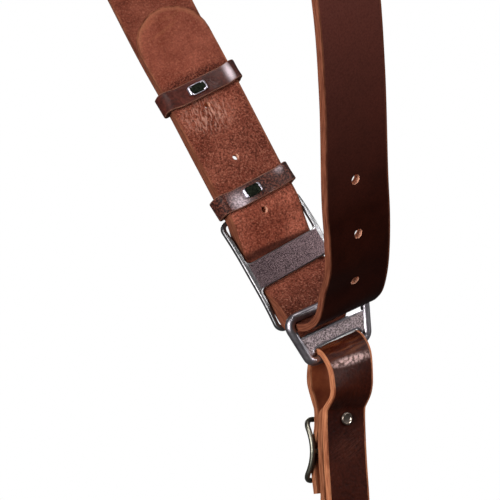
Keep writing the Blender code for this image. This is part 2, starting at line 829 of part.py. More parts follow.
oval = [
    (
        (clasp_loop_width / 2 - clasp_wire_radius) * cos(2 * pi * i / 20),
        0,
        loop_middle + (clasp_loop_height / 2 - clasp_wire_radius) * sin(2 * pi * i / 20),
    )
    for i in range(20)
]
clasp_loop = place("clasp_loop", wire_mesh("clasp_loop", oval, clasp_wire_radius * 1.1), clasp_metal, leash_low)
clasp_loop.location = clasp.location
union(clasp, clasp_loop)
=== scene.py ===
"""Leather camera sling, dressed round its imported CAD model.

Metres, +Z up, with the shoulder point at the origin.
"""

from math import cos, pi, radians, sin, tan

import bpy
import numpy as np
from mathutils import Euler, Matrix, Vector


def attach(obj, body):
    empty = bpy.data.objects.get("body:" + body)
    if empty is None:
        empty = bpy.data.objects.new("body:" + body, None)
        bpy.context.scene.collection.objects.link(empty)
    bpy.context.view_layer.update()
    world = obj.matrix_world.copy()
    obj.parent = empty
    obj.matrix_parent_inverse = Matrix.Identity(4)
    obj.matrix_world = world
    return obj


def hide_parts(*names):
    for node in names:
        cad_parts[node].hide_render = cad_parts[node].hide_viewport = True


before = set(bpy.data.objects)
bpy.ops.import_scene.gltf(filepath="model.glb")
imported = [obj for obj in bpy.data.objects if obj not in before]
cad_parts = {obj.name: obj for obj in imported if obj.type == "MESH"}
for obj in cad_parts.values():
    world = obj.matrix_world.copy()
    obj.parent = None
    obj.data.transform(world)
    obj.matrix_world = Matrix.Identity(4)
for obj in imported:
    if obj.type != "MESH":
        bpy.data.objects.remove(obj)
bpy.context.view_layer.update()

# Studio: a product photograph on white, on a pale floor. Soft lamps stand at the left, at the right, overhead
# and behind, and three small ones give only sheen, round a camera that looks level at the ring.
MM = 0.001
scene = bpy.context.scene
scene.view_settings.view_transform = "Standard"
look_at = Vector((0.195, 0.0, -0.536))
looking = Vector((0.5, 0.866, 0.0)).normalized()
rightward = Vector((looking.y, -looking.x, 0.0))
white = (1, 1, 1, 1)
sky_strength = 0.06
sky_in_metal = 0.1
floor_middle = (0.11, 0, -0.76)
floor_radius = 0.78
floor_glow = 0.62


def put_in_scene(name, data):
    made = bpy.data.objects.new(name, data)
    scene.collection.objects.link(made)
    return made


camera = put_in_scene("camera", bpy.data.cameras.new("camera"))
camera.location = (-0.2711, -0.7614, -0.536)
camera.rotation_euler = (pi / 2, 0, -radians(30))
camera.data.angle = radians(15.213)
camera.data.clip_start = 0.01
scene.camera = camera


def soft_light(name, side, height, front, size, power, cone=100, sheen_only=False):
    """A square lamp aimed at the ring, placed to the right of, above and in front of it."""
    lamp = bpy.data.lights.new(name, "AREA")
    lamp.shape = "SQUARE"
    lamp.size = size
    lamp.energy = power
    lamp.spread = radians(cone)
    held = put_in_scene(name, lamp)
    held.location = look_at + rightward * side + Vector((0, 0, height)) - looking * front
    held.rotation_euler = (look_at - held.location).to_track_quat("-Z", "Y").to_euler()
    held.visible_diffuse = not sheen_only


soft_light("light_key", -0.65, 0.1, 1.0, 0.6, 5.8)
soft_light("light_sheen", 0.15, 0.95, 0.8, 0.2, 4.0, sheen_only=True)
soft_light("light_crest", 0.86, 0.66, 0.53, 0.14, 1.0, sheen_only=True)
soft_light("light_bars", -0.45, -0.22, 1.0, 0.16, 1.2, sheen_only=True)
soft_light("light_overhead", 0.1, 1.2, 0.1, 0.4, 0.5)
soft_light("light_right", 1.0, 0.45, 0.2, 0.28, 1.7)
soft_light("light_behind", -0.3, 0.55, -1.3, 0.8, 9.0, cone=150)


def add(tree, kind, inputs=None, **settings):
    """A node with its settings. Each input is given a value, or a socket to join."""
    node = tree.nodes.new("ShaderNode" + kind)
    for name, value in settings.items():
        setattr(node, name, value)
    for name, value in (inputs or {}).items():
        if isinstance(value, bpy.types.NodeSocket):
            tree.links.new(value, node.inputs[name])
        else:
            node.inputs[name].default_value = value
    return node


scene.world = bpy.data.worlds.new("white_studio")
scene.world.use_nodes = True
sky = scene.world.node_tree
sky.nodes.clear()
rays = add(sky, "LightPath").outputs
dim = add(sky, "MapRange", {"Value": rays["Is Glossy Ray"], "To Min": sky_strength, "To Max": sky_in_metal})
lit = add(sky, "Background", {"Color": white, "Strength": dim.outputs[0]})
seen = add(sky, "Background", {"Color": white})
either = add(sky, "MixShader", {"Fac": rays["Is Camera Ray"], 1: lit.outputs[0], 2: seen.outputs[0]})
add(sky, "OutputWorld", {"Surface": either.outputs[0]})


def new_material(name):
    made = bpy.data.materials.new(name)
    made.use_nodes = True
    return made, made.node_tree, made.node_tree.nodes["Principled BSDF"]


bpy.ops.mesh.primitive_circle_add(vertices=96, radius=floor_radius, fill_type="NGON", location=floor_middle)
floor = bpy.context.object
floor.name = "floor"
floor_paint, _, shader = new_material("pale_floor")
shader.inputs["Base Color"].default_value = (0.74, 0.74, 0.73, 1)
shader.inputs["Roughness"].default_value = 0.9
shader.inputs["Emission Color"].default_value = white
shader.inputs["Emission Strength"].default_value = floor_glow
floor.data.materials.append(floor_paint)
floor.visible_glossy = False
floor.visible_diffuse = False

# Wide strap: one 38 mm strip of thick harness leather, its ends punched round, its cut edges left tan.
# The tongue lies on the other end in the far run, so both show their rough inner side; the near run
# shows the dark polished grain side. It runs round the ring's top bar in a U and over the shoulder.
strap_width = 38 * MM
strap_thickness = 3.4 * MM
strap_edge_round = 0.7 * MM
strap_tip = 19 * MM
strap_gap = 0.3 * MM
bend_gap = 0.6 * MM
hole_radius = 1.6 * MM
hole_pitch = 29.5 * MM
hole_aside = 1.4 * MM
hole_mismatch = (1.3 * MM, 0.7 * MM)
far_hole_start = 24.9 * MM
near_hole_start = 41 * MM
near_hole_pitch = 28 * MM
near_hole_radius = 2.4 * MM
near_hole_aside = 1.2 * MM
tongue_length = 139 * MM
tail_length = 43.5 * MM
tail_shift = 1.8 * MM
loop_height = 600 * MM
loop_half_depth = 125 * MM
loop_lean = radians(20.5)
far_lean = radians(21.5)
slide_twist = radians(5)
top_twist = radians(16)
slide_rise = 24.5 * MM
slide_back = 21.5 * MM
slide_length = 61 * MM
slide_bar_width = 2.4 * MM
slide_bar_depth = 2.8 * MM
slide_plate_height = 14 * MM
slide_bow = 2.5 * MM
slide_drop = 1.4 * MM
slide_aside = 1.0 * MM
keeper_lower_along = 36.2 * MM
keeper_upper_along = 94 * MM
ring_wire = 2.3 * MM
strip_step = 2.2 * MM
strip_lanes = 16

top_bar_drop = Matrix.Rotation(-loop_lean, 3, "Y") @ Vector((0, 0, loop_height))
in_loop = Matrix.Translation(-top_bar_drop) @ Matrix.Rotation(-loop_lean, 4, "Y")
in_far = in_loop @ Matrix.Translation((0, slide_back, slide_rise)) @ Matrix.Rotation(-far_lean, 4, "X")

stack = 2 * strap_thickness + strap_gap
layer_shift = (strap_thickness + strap_gap) / 2
slide_end = slide_length / 2 - slide_bar_width / 2
under_plate = -(slide_bar_depth / 2 + bend_gap + stack / 2)
over_ends = -slide_bow + slide_bar_depth / 2 + bend_gap + stack / 2
seat = ring_wire + bend_gap + strap_thickness / 2
plate_top_edge = slide_plate_height / 2 - slide_drop
plate_low_edge = -slide_plate_height / 2 - slide_drop


def share_of(part, whole):
    return min(max(part / whole, 0.0), 1.0)


def far_twist(along):
    share = share_of(along - slide_end, tongue_length - slide_end)
    return slide_twist + (top_twist - slide_twist) * share


def far_row(along, inward, aside=0.0):
    """A place on the far run: how far up it, how far into the loop, and how far to one side."""
    twist = far_twist(along)
    level = inward * cos(twist) + aside * sin(twist)
    x = aside * cos(twist) - inward * sin(twist)
    y = slide_back + along * sin(far_lean) - level * cos(far_lean)
    z = slide_rise + along * cos(far_lean) + level * sin(far_lean)
    return (x, y, z, twist)


def against_bar(along):
    """How far the strap lies left of the middle: most at the top of the slide buckle, none at its foot."""
    if along < slide_end:
        return -slide_aside * share_of(along - plate_low_edge, slide_end - plate_low_edge)
    return -slide_aside * share_of(keeper_upper_along - along, keeper_upper_along - slide_end)


# How far up the far run, how far into the loop, and the layers' distance as a share of the usual one
layer_places = [
    (tongue_length, over_ends, 1.0),
    (keeper_upper_along, over_ends, 1.0),
    ((keeper_upper_along + keeper_lower_along) / 2, over_ends, 1.0),
    (keeper_lower_along, over_ends, 1.0),
    (slide_end - slide_drop - slide_bar_width, over_ends, 1.05),
    ((slide_end + plate_top_edge) / 2, (over_ends + under_plate) / 2, 1.2),
    (plate_top_edge, under_plate, 1.08),
]
# The U round the ring's bar, as shares of how far back and how far up the slide buckle stands
u_places = [
    (0.56, 0.38), (0.30, 0.11), (0.0, 0.0), (-0.42, 0.015), (-0.72, 0.08), (-1.08, 0.24), (-1.50, 0.59),
]
# The loop, up the near run and down again, as shares of its depth and height, degrees of turn and mm aside
loop_places = [
    (-0.346, 0.0413, 5, -1.0), (-0.41, 0.067, 5, -1.0), (-0.48, 0.10, 5, -1.0), (-0.655, 0.178, 8, -0.3),
    (-0.79, 0.2525, 9, 0.1), (-0.935, 0.37, 6, 0.1), (-1.0, 0.52, 2, 0), (-0.98, 0.70, 0, 0),
    (-0.83, 0.86, 0, 0), (-0.50, 0.965, 0, 0), (0.0, 1.0, 0, 0), (0.50, 0.965, 0, 0),
    (0.82, 0.87, 2, 0), (0.95, 0.73, 5, 0), (0.95, 0.57, 9, 0), (0.83, 0.42, 13, 0),
]


def far_layer(side):
    """One layer of the far run, down to the slide buckle's plate: side 1 is the tongue and -1 lies behind."""
    return [
        far_row(along, inward + side * layer_shift * apart, against_bar(along))
        for along, inward, apart in layer_places
    ]


strap_rows = far_layer(1)
strap_rows.append(far_row(plate_low_edge, under_plate + layer_shift))
for y, z in u_places:
    strap_rows.append((0, slide_back * y, -seat + (slide_rise + seat) * z, slide_twist * max(y, 0)))
for y, z, twist, aside in loop_places:
    height = loop_height * z + strap_thickness / 2 * z
    strap_rows.append((aside * MM, loop_half_depth * y, height, radians(twist)))
strap_rows += far_layer(-1)
tail_on_bar = -slide_bow + slide_bar_depth / 2 + bend_gap + strap_thickness / 2
low_bar = -slide_end - slide_drop
strap_rows += [
    far_row(plate_low_edge, under_plate - layer_shift),
    far_row((low_bar + plate_low_edge) / 2, tail_on_bar - strap_thickness * 0.9),
    far_row(low_bar + slide_bar_width, tail_on_bar, -tail_shift / 2),
    far_row((low_bar - tail_length) / 2, tail_on_bar * 0.9, -tail_shift),
    far_row(-tail_length, -strap_thickness * 0.5, -tail_shift),
]


class Lay:
    """The line that a strip of leather follows, read by the length from its start."""

    def __init__(self, rows, reach, parts=40):
        rows = np.array(rows, float)
        rows = np.vstack([2 * rows[0] - rows[1], rows, 2 * rows[-1] - rows[-2]])
        t = np.arange(parts)[:, None] / parts
        spans = [
            (2 * b + (c - a) * t + (2 * a - 5 * b + 4 * c - d) * t**2 + (3 * b - a - 3 * c + d) * t**3) / 2
            for a, b, c, d in zip(rows, rows[1:], rows[2:], rows[3:])
        ]
        self.path = np.vstack(spans + [rows[-2:-1]])
        steps = np.linalg.norm(np.diff(self.path[:, :3], axis=0), axis=1)
        self.lengths = np.concatenate([[0], np.cumsum(steps)])
        self.length = self.lengths[-1]
        self.reach = reach

    def at(self, lengths):
        return np.column_stack([np.interp(lengths, self.lengths, self.path[:, k]) for k in range(4)])

    def frames(self, lengths):
        """Points on the line, with the directions across the strip and out of its grain side."""
        points = self.at(lengths)
        ahead = self.at(lengths + self.reach) - self.at(lengths - self.reach)
        ahead = ahead[:, :3] / np.linalg.norm(ahead[:, :3], axis=1)[:, None]
        level = ahead[:, 1:] / np.linalg.norm(ahead[:, 1:], axis=1)[:, None]
        twist = points[:, 3]
        across = np.column_stack([np.cos(twist), level[:, 1] * np.sin(twist), -level[:, 0] * np.sin(twist)])
        return points[:, :3], across, np.cross(across, ahead)

    def flat_place(self, point, start, end, samples=2000):
        """Where a point lies on the flat strip: how far across it and how far along it."""
        lengths = np.linspace(start, end, samples)
        points, across, _ = self.frames(lengths)
        nearest = np.argmin(np.linalg.norm(points - np.array(point[:3]), axis=1))
        return float(np.dot(np.array(point[:3]) - points[nearest], across[nearest])), float(lengths[nearest])


def points_of(made):
    places = np.empty(len(made.data.vertices) * 3)
    made.data.vertices.foreach_get("co", places)
    return places.reshape(-1, 3)


def move_points(made, places):
    made.data.vertices.foreach_set("co", np.asarray(places, float).ravel())
    made.data.update()


def stand(made, placing, places=None):
    """Puts a piece's points, or the places worked out for them, where a frame stands."""
    places = points_of(made) if places is None else places
    move_points(made, places @ np.array(placing.to_3x3()).T + np.array(placing.translation))


def pick(made):
    """Makes a piece the active one and the only one selected."""
    bpy.ops.object.select_all(action="DESELECT")
    made.select_set(True)
    bpy.context.view_layer.objects.active = made


def apply_modifiers(made):
    pick(made)
    for modifier in list(made.modifiers):
        bpy.ops.object.modifier_apply(modifier=modifier.name)


def thicken(made, thickness, offset=0):
    """Gives a sheet its thickness, about its middle or to one side of it."""
    wall = made.modifiers.new("thickness", "SOLIDIFY")
    wall.thickness = thickness
    wall.offset = offset


def soften(made, width, segments, sharp):
    """Rounds the edges that turn by more than some degrees, and applies all that the piece has waiting."""
    rounding = made.modifiers.new("soft edge", "BEVEL")
    rounding.width = width
    rounding.segments = segments
    rounding.limit_method = "ANGLE"
    rounding.angle_limit = radians(sharp)
    apply_modifiers(made)


def combine(made, tool, way="UNION"):
    """Joins a solid to a piece, or cuts it out."""
    both = made.modifiers.new("one piece", "BOOLEAN")
    both.operation = way
    both.solver = "EXACT"
    both.object = tool
    apply_modifiers(made)
    bpy.data.objects.remove(tool, do_unlink=True)


def carry(made, name, values):
    """Writes a value or a place on each point, for the material to read."""
    is_place = np.ndim(values) == 2
    kept = made.data.attributes.new(name, "FLOAT_VECTOR" if is_place else "FLOAT", "POINT")
    kept.data.foreach_set("vector" if is_place else "value", np.ravel(values))


def mark_faces(made, name, wanted):
    """Marks the faces that pass a test with 1 and the others with 0."""
    marks = made.data.attributes.new(name, "FLOAT", "FACE")
    for face in made.data.polygons:
        marks.data[face.index].value = 1.0 if wanted(face) else 0.0


def flat_grid(name, across, along):
    """A square sheet of size 1, divided into so many parts each way."""
    bpy.ops.mesh.primitive_grid_add(x_subdivisions=across, y_subdivisions=along, size=1)
    sheet = bpy.context.object
    sheet.name = sheet.data.name = name
    return sheet


def leather_strip(name, width, length, thickness, edge, lanes, step, start_tip=0.0, end_tip=0.0, holes=()):
    """A strip lying flat: x across, y along from 0, z through it with the grain side up.

    Holes are x, y and radius. The strip carries its flat places as lay, the way in from its cut edge as
    inset, and its hole walls as bore.
    """
    turns = [radians(a) for a in (5, 14, 23, 32, 41, 50, 59, 68, 79)]
    sections = [start_tip * (1 - cos(a)) for a in turns] if start_tip else []
    rows = max(2, round((length - start_tip - end_tip) / step))
    sections += list(np.linspace(start_tip, length - end_tip, rows))
    sections += [length - end_tip * (1 - cos(a)) for a in reversed(turns)] if end_tip else []
    strip = flat_grid(name, lanes, len(sections) - 1)
    places = points_of(strip)
    along = np.array(sections)[np.unique(np.round(places[:, 1], 5), return_inverse=True)[1].ravel()]
    narrowed = np.ones_like(along)
    for tip, end in ((start_tip, along), (end_tip, length - along)):
        if tip:
            narrowed = np.minimum(narrowed, np.sqrt(1 - np.clip((tip - end) / tip, 0, 1) ** 2))
    places[:, 0] *= width * narrowed
    places[:, 1] = along
    move_points(strip, places)
    thicken(strip, thickness)
    soften(strip, edge, segments=3, sharp=40)
    for across, where, radius in holes:
        bpy.ops.mesh.primitive_cylinder_add(
            vertices=24, radius=radius, depth=3 * thickness, location=(across, where, 0)
        )
        combine(strip, bpy.context.object, "DIFFERENCE")

    places = points_of(strip)
    reach = np.abs(places[:, 0]) / (width / 2)
    inset = (1 - reach) * width / 2
    for tip, end in ((start_tip, places[:, 1]), (end_tip, length - places[:, 1])):
        if tip:
            out = np.sqrt(reach**2 + (np.clip(tip - end, 0, None) / tip) ** 2)
            inset = np.where(end < tip, (1 - out) * width / 2, inset)
        else:
            inset = np.minimum(inset, end)
    carry(strip, "lay", places)
    carry(strip, "inset", inset)

    def in_hole(face):
        return abs(face.normal.z) < 0.5 and any(
            (face.center.xy - Vector((across, where))).length < radius * 1.02
            for across, where, radius in holes
        )

    mark_faces(strip, "bore", in_hole)
    return strip


def bend_strip(strip, lay, placing):
    """Lays a flat strip along its line, then puts it where its frame stands."""
    flat = points_of(strip)
    points, across, outward = lay.frames(flat[:, 1])
    stand(strip, placing, points + across * flat[:, :1] + outward * flat[:, 2:])


def finish_piece(made, look, node, smooth=40):
    """Smooth shading, the material, and the ties to the CAD model."""
    pick(made)
    bpy.ops.object.shade_smooth_by_angle(angle=radians(smooth))
    made.data.materials.clear()
    made.data.materials.append(look)
    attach(made, "root")
    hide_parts(node)


def shade(red, green, blue):
    """A colour as a photograph shows it, 0 to 255, turned into light."""
    levels = (red / 255, green / 255, blue / 255)
    return tuple(c / 12.92 if c < 0.04 else ((c + 0.055) / 1.055) ** 2.4 for c in levels) + (1,)


def mix(tree, share, first, second, way="MIX"):
    return add(tree, "Mix", {0: share, 6: first, 7: second}, data_type="RGBA", blend_type=way).outputs[2]


def tint(tree, colour, light):
    """A colour made darker below 1 and lighter above it."""
    return mix(tree, 1.0, colour, light, "MULTIPLY")


def spread(tree, value, low, high, to_low=0.0, to_high=1.0):
    return add(tree, "MapRange", {0: value, 1: low, 2: high, 3: to_low, 4: to_high}).outputs[0]


def maths(tree, way, first, second=0.0, third=0.0):
    return add(tree, "Math", {0: first, 1: second, 2: third}, operation=way).outputs[0]


def times(tree, first, second):
    return maths(tree, "MULTIPLY", first, second)


def plus(tree, base, value, amount):
    """The base with so much of a value added."""
    return maths(tree, "MULTIPLY_ADD", value, amount, base)


def wash(tree, below, share, strength, colour):
    """A colour laid over another, at most as strongly as it says."""
    return mix(tree, times(tree, share, strength), below, colour)


def noise(tree, place, scale, detail=2.0, roughness=0.5, distortion=0.0):
    node = add(tree, "TexNoise", {"Vector": place, "Scale": scale, "Detail": detail, "Roughness": roughness})
    node.inputs["Distortion"].default_value = distortion
    return node.outputs["Fac"]


def stretched(tree, place, scale):
    return add(tree, "Mapping", {"Vector": place, "Scale": scale}).outputs[0]


def bumps(tree, height, strength, distance):
    return add(tree, "Bump", {"Height": height, "Strength": strength, "Distance": distance}).outputs[0]


def carried(tree, name, kind="Fac"):
    """What the mesh carries under a name: a value, or with the kind Vector a place."""
    return add(tree, "Attribute", attribute_name=name).outputs[kind]


def feed(tree, sockets, sources):
    """Joins each named socket to its source."""
    for name, source in sources.items():
        tree.links.new(source, sockets[name])


def new_group(name, takes, gives):
    """A node group with named inputs, as pairs of a name and a starting value, and named outputs."""
    group = bpy.data.node_groups.new(name, "ShaderNodeTree")
    for label, start in takes:
        kind = "NodeSocketVector" if start is None else "NodeSocketFloat"
        socket = group.interface.new_socket(label, in_out="INPUT", socket_type=kind)
        if start is not None:
            socket.default_value = start
    for label in gives:
        group.interface.new_socket(label, in_out="OUTPUT", socket_type="NodeSocketFloat")
    return group, group.nodes.new("NodeGroupInput").outputs, group.nodes.new("NodeGroupOutput").inputs


def use(tree, group, inputs):
    return add(tree, "Group", inputs, node_tree=group).outputs


# The grit, fibre, mottling and specks of leather, from its flat places
leather_grain, taken, given = new_group(
    "leather_grain",
    (("Place", None), ("Grits", 900.0), ("Fibres", 2600.0)),
    ("Height", "Mottle", "Specks", "Fibre", "Grit"),
)
grit = noise(leather_grain, taken["Place"], taken["Grits"], 3.0, 0.62, 0.3)
fibre = noise(leather_grain, taken["Place"], taken["Fibres"], 2.0, 0.6)
cloud = noise(leather_grain, taken["Place"], 45.0, 4.0, 0.62)
cell_size = {"Vector": taken["Place"], "Scale": taken["Grits"], "Randomness": 1.0}
cells = add(leather_grain, "TexVoronoi", cell_size).outputs["Distance"]
heights = plus(leather_grain, grit, cells, -0.45)
heights = plus(leather_grain, heights, fibre, 0.3)
feed(leather_grain, given, {
    "Height": heights,
    "Mottle": spread(leather_grain, cloud, 0.34, 0.66),
    "Specks": spread(leather_grain, grit, 0.56, 0.68),
    "Fibre": spread(leather_grain, fibre, 0.3, 0.7),
    "Grit": spread(leather_grain, heights, 0.16, 0.62),
})

# A cut edge: where the raw fibres show, with a slightly broken border, and the layers that run along it
cut_edge, taken, given = new_group(
    "cut_edge", (("Place", None), ("Inset", 0.0), ("Bore", 0.0)), ("Mask", "Layers")
)
border = plus(cut_edge, taken["Inset"], noise(cut_edge, taken["Place"], 900.0), 0.25 * MM)
edge_mask = maths(cut_edge, "MAXIMUM", spread(cut_edge, border, 0.42 * MM, 0.24 * MM), taken["Bore"])
layers = noise(cut_edge, stretched(cut_edge, taken["Place"], (300.0, 120.0, 2600.0)), 1.0, 3.0)
feed(cut_edge, given, {"Mask": edge_mask, "Layers": spread(cut_edge, layers, 0.35, 0.65)})

# Streak patches: fine streaks that run along one way inside a soft oval patch of the leather, drawing
# creases, painted shadows and painted highlights
streak_patches, taken, given = new_group(
    "streak_patches",
    (("Place", None), ("Middle", None), ("Turn", None), ("Size", None), ("Lines", 12.0)),
    ("Streaks", "Patch"),
)
spot = {"Location": taken["Middle"], "Rotation": taken["Turn"], "Scale": taken["Size"]}
local = add(streak_patches, "Mapping", {"Vector": taken["Place"], **spot}, vector_type="TEXTURE").outputs[0]
local = add(streak_patches, "VectorMath", {0: local, 1: (1.0, 1.0, 0.0)}, operation="MULTIPLY").outputs[0]
away = add(streak_patches, "VectorMath", {0: local}, operation="LENGTH").outputs["Value"]
fading = {0: away, 1: 1.0, 2: 0.25, 3: 0.0, 4: 1.0}
patch = add(streak_patches, "MapRange", fading, interpolation_type="SMOOTHSTEP").outputs[0]
squeezed = add(streak_patches, "VectorMath", {0: local, 1: (1.0, 0.22, 0.0)}, operation="MULTIPLY").outputs[0]
lined = noise(streak_patches, squeezed, taken["Lines"], distortion=0.5)
feed(streak_patches, given, {"Streaks": times(streak_patches, spread(streak_patches, lined, 0.47, 0.64), patch), "Patch": patch})


def streak_patch(tree, place, middle, turn, half_across, half_along, lines):
    """Streaks round a flat place, turned by some degrees, over a patch given in mm."""
    return use(tree, streak_patches, {
        "Place": place,
        "Middle": middle,
        "Turn": (0.0, 0.0, radians(turn)),
        "Size": (half_across * MM, half_along * MM, 1.0),
        "Lines": lines,
    })


def new_leather(name, grits, fibres, skive):
    """A leather material, with its strip's flat places, its grain, and its cut edge set in by a skive."""
    made, tree, shader = new_material(name)
    place = carried(tree, "lay", "Vector")
    grain = use(tree, leather_grain, {"Place": place, "Grits": grits, "Fibres": fibres})
    skived = maths(tree, "SUBTRACT", carried(tree, "inset"), skive)
    edge = use(tree, cut_edge, {"Place": place, "Inset": skived, "Bore": carried(tree, "bore")})
    return made, tree, shader, place, grain, edge


strap_lay = Lay(strap_rows, reach=1.6 * MM)
tongue_reach = tongue_length * 1.2


def on_tongue(along, aside):
    """The flat place on the tongue of a point so far up the far run and so far to one side."""
    across, where = strap_lay.flat_place(far_row(along, over_ends + layer_shift, aside), 0, tongue_reach)
    return (across, where, 0.0)


wide_leather, tree, shader, place, grain, edge = new_leather(
    "wide_leather_dressed", grits=1050.0, fibres=2600.0, skive=0.6 * MM
)
inset = carried(tree, "inset")
way = add(tree, "SeparateXYZ", {0: place}).outputs
outer = spread(tree, way["Z"], -0.3 * MM, 0.3 * MM)
# fan_crease_highlight: creases below the upper keeper, with painted highlights along them
fan_crease_highlight = streak_patch(tree, place, on_tongue(keeper_upper_along - 15 * MM, -4 * MM), 8, 17, 12, 15.0)
# pucker_shade: puckers above the upper keeper, with painted shade in their folds and a painted shadow along
# the keeper's top edge
pucker_shade = streak_patch(tree, place, on_tongue(keeper_upper_along + 5 * MM, 0), -2, 31, 5.5, 30.0)
# plate_shadow: a painted shadow along the plate's top edge, where the strap dives under it.
plate_shadow = streak_patch(tree, place, on_tongue(plate_top_edge - 0.5 * MM, 0), 0, 60, 4.2, 8.0)
tip_wear = streak_patch(tree, place, (-4 * MM, 7 * MM, 0.0), 80, 12, 19, 4.0)
low_keeper_y = on_tongue(keeper_lower_along, 0)[1]
plate_y = on_tongue(plate_top_edge, 0)[1]

# The rough inner side: pebbled, with painted light and shade down the tongue, creased at the upper keeper,
# with painted highlights on the creases below it and painted shade in the puckers above it
past_tongue = (0.4, 0.41)
coarse = spread(tree, way["Y"], 28 * MM, 52 * MM, 0.4, 1.1)
coarse = times(tree, coarse, spread(tree, way["Y"], *past_tongue, 1.0, 0.4))
# Painted light and shade down the tongue: lighter near the tip and below the lower keeper, darker below the
# plate and darker still by the ring; the layer past the tongue is brought back up.
painted_shading = spread(tree, way["Y"], low_keeper_y, low_keeper_y + 8 * MM, 1.0, 1.56)
for start, end, before, after in (
    (36 * MM, 78 * MM, 1.36, 1.0),
    (plate_y + 4 * MM, plate_y + 18 * MM, 1.0, 0.62),
    (plate_y + 20 * MM, plate_y + 36 * MM, 1.0, 0.5),
    (*past_tongue, 1.0, 2.3),
):
    painted_shading = times(tree, painted_shading, spread(tree, way["Y"], start, end, before, after))
rough_side = tint(tree, mix(tree, grain["Mottle"], shade(92, 43, 31), shade(122, 66, 51)), painted_shading)
pebbled = tint(tree, rough_side, spread(tree, grain["Grit"], 0, 1, 0.42, 1.58))
pebbled = wash(tree, pebbled, grain["Specks"], 0.3, shade(200, 142, 116))
rough_side = mix(tree, coarse, rough_side, pebbled)
tip_rim = times(tree, spread(tree, inset, 3 * MM, 0.8 * MM), spread(tree, way["Y"], 20 * MM, 12 * MM))
# Painted shadow at the plate, painted highlights on the creases below the upper keeper, wear at the tip, the
# pale skived tip rim, and painted shade above the upper keeper and in its puckers
for share, strength, colour in (
    (plate_shadow["Patch"], 0.85, shade(40, 16, 11)),
    (fan_crease_highlight["Streaks"], 0.62, shade(212, 156, 136)),
    (tip_wear["Streaks"], 0.2, shade(170, 104, 72)),
    (tip_rim, 0.55, shade(160, 102, 74)),
    (pucker_shade["Patch"], 0.35, shade(72, 32, 25)),
    (pucker_shade["Streaks"], 0.9, shade(44, 17, 13)),
):
    rough_side = wash(tree, rough_side, share, strength, colour)

# The dark grain side, with painted light making it paler from the bend to the shoulder
grain_side = mix(tree, grain["Mottle"], shade(38, 12, 6), shade(53, 19, 11))
painted_light_from_bend = spread(tree, way["Y"], tongue_length + 120 * MM, tongue_length + 360 * MM)
past_shoulder = spread(tree, way["Y"], tongue_length + 420 * MM, tongue_length + 700 * MM, 1.0, 0.25)
grain_side = wash(tree, grain_side, painted_light_from_bend, past_shoulder, shade(142, 80, 70))
grain_side = tint(tree, grain_side, spread(tree, grain["Grit"], 0, 1, 0.85, 1.15))

# Both sides together, with the tan cut edge, and the hole walls paler still: raw leather with a painted
# highlight
faces = mix(tree, outer, rough_side, grain_side)
cut_tone = mix(tree, edge["Layers"], shade(94, 49, 35), shade(138, 82, 60))
faces = wash(tree, faces, spread(tree, inset, 1.6 * MM, 0.3 * MM), 0.35, cut_tone)
cut_tone = mix(tree, carried(tree, "bore"), cut_tone, shade(214, 160, 134))
gloss = plus(tree, spread(tree, outer, 0, 1, 0.5, 0.4), grain["Fibre"], 0.12)
relief = plus(tree, grain["Height"], fan_crease_highlight["Streaks"], 1.1)
relief = plus(tree, relief, pucker_shade["Streaks"], -1.2)
feed(tree, shader.inputs, {
    "Base Color": mix(tree, edge["Mask"], faces, cut_tone),
    "Roughness": plus(tree, gloss, edge["Mask"], 0.2),
    "Normal": bumps(tree, relief, spread(tree, outer, 0, 1, 0.9, 0.12), 0.3 * MM),
})
shader.inputs["Specular IOR Level"].default_value = 0.03

holes = []
tail_start = strap_lay.length - 3 * tongue_length / 2
for count in range(3):
    along = far_hole_start + hole_pitch * count
    off_x, off_z = hole_mismatch if count == 1 else (0, 0)
    behind = far_row(along + off_z, over_ends - layer_shift, off_x - hole_aside)
    holes.append((*on_tongue(along, -hole_aside)[:2], hole_radius))
    holes.append((*strap_lay.flat_place(behind, tail_start, strap_lay.length), hole_radius))
u_middle = strap_lay.flat_place((0, 0, -seat), tongue_length, tongue_length * 2)[1]
for count in range(3):
    holes.append((-near_hole_aside, u_middle + near_hole_start + near_hole_pitch * count, near_hole_radius))
sling = leather_strip(
    "wide_strap", strap_width, strap_lay.length, strap_thickness, strap_edge_round, strip_lanes, strip_step,
    strap_tip, strap_tip, holes,
)
bend_strip(sling, strap_lay, in_loop)
finish_piece(sling, wide_leather, "sling_strap")

# Keepers: two narrow bands of dark waxed leather round both layers of the far run, butted behind,
# each held shut by an oblong steel clip with rolled ends that is pressed into its front.
keeper_width = 10 * MM
keeper_wall = 2.4 * MM
keeper_play = 0.8 * MM
keeper_corner = 2.4 * MM
keeper_lean_reach = 7 * MM
keeper_edge_round = 0.5 * MM
keeper_waves = 0.14 * MM
keeper_follows = 0.9
keeper_butt = 19
keeper_lanes = 6
keeper_step = 0.9 * MM
clip_length = 10.5 * MM
clip_height = 5.4 * MM
clip_thickness = 1.8 * MM
clip_sheet = 0.7 * MM
clip_edge_round = 0.22 * MM
clip_roll_middle = 0.76
clip_roll_half = 0.24
keeper_half_x = strap_width / 2 + keeper_play
keeper_half_y = stack / 2 + keeper_play

keeper_leather, tree, shader, place, grain, edge = new_leather(
    "keeper_leather_dressed", grits=700.0, fibres=2600.0, skive=0.2 * MM
)
painted_sheen = carried(tree, "painted_sheen")
crazed = carried(tree, "crazed")
dark_side = mix(tree, grain["Mottle"], shade(40, 11, 7), shade(84, 36, 27))
dark_side = tint(tree, dark_side, spread(tree, grain["Grit"], 0, 1, 0.55, 1.45))
cracks = spread(tree, noise(tree, place, 900.0, 3.0, 0.7), 0.44, 0.66)
dark_side = mix(tree, crazed, dark_side, mix(tree, cracks, shade(27, 7, 4), shade(118, 64, 50)))
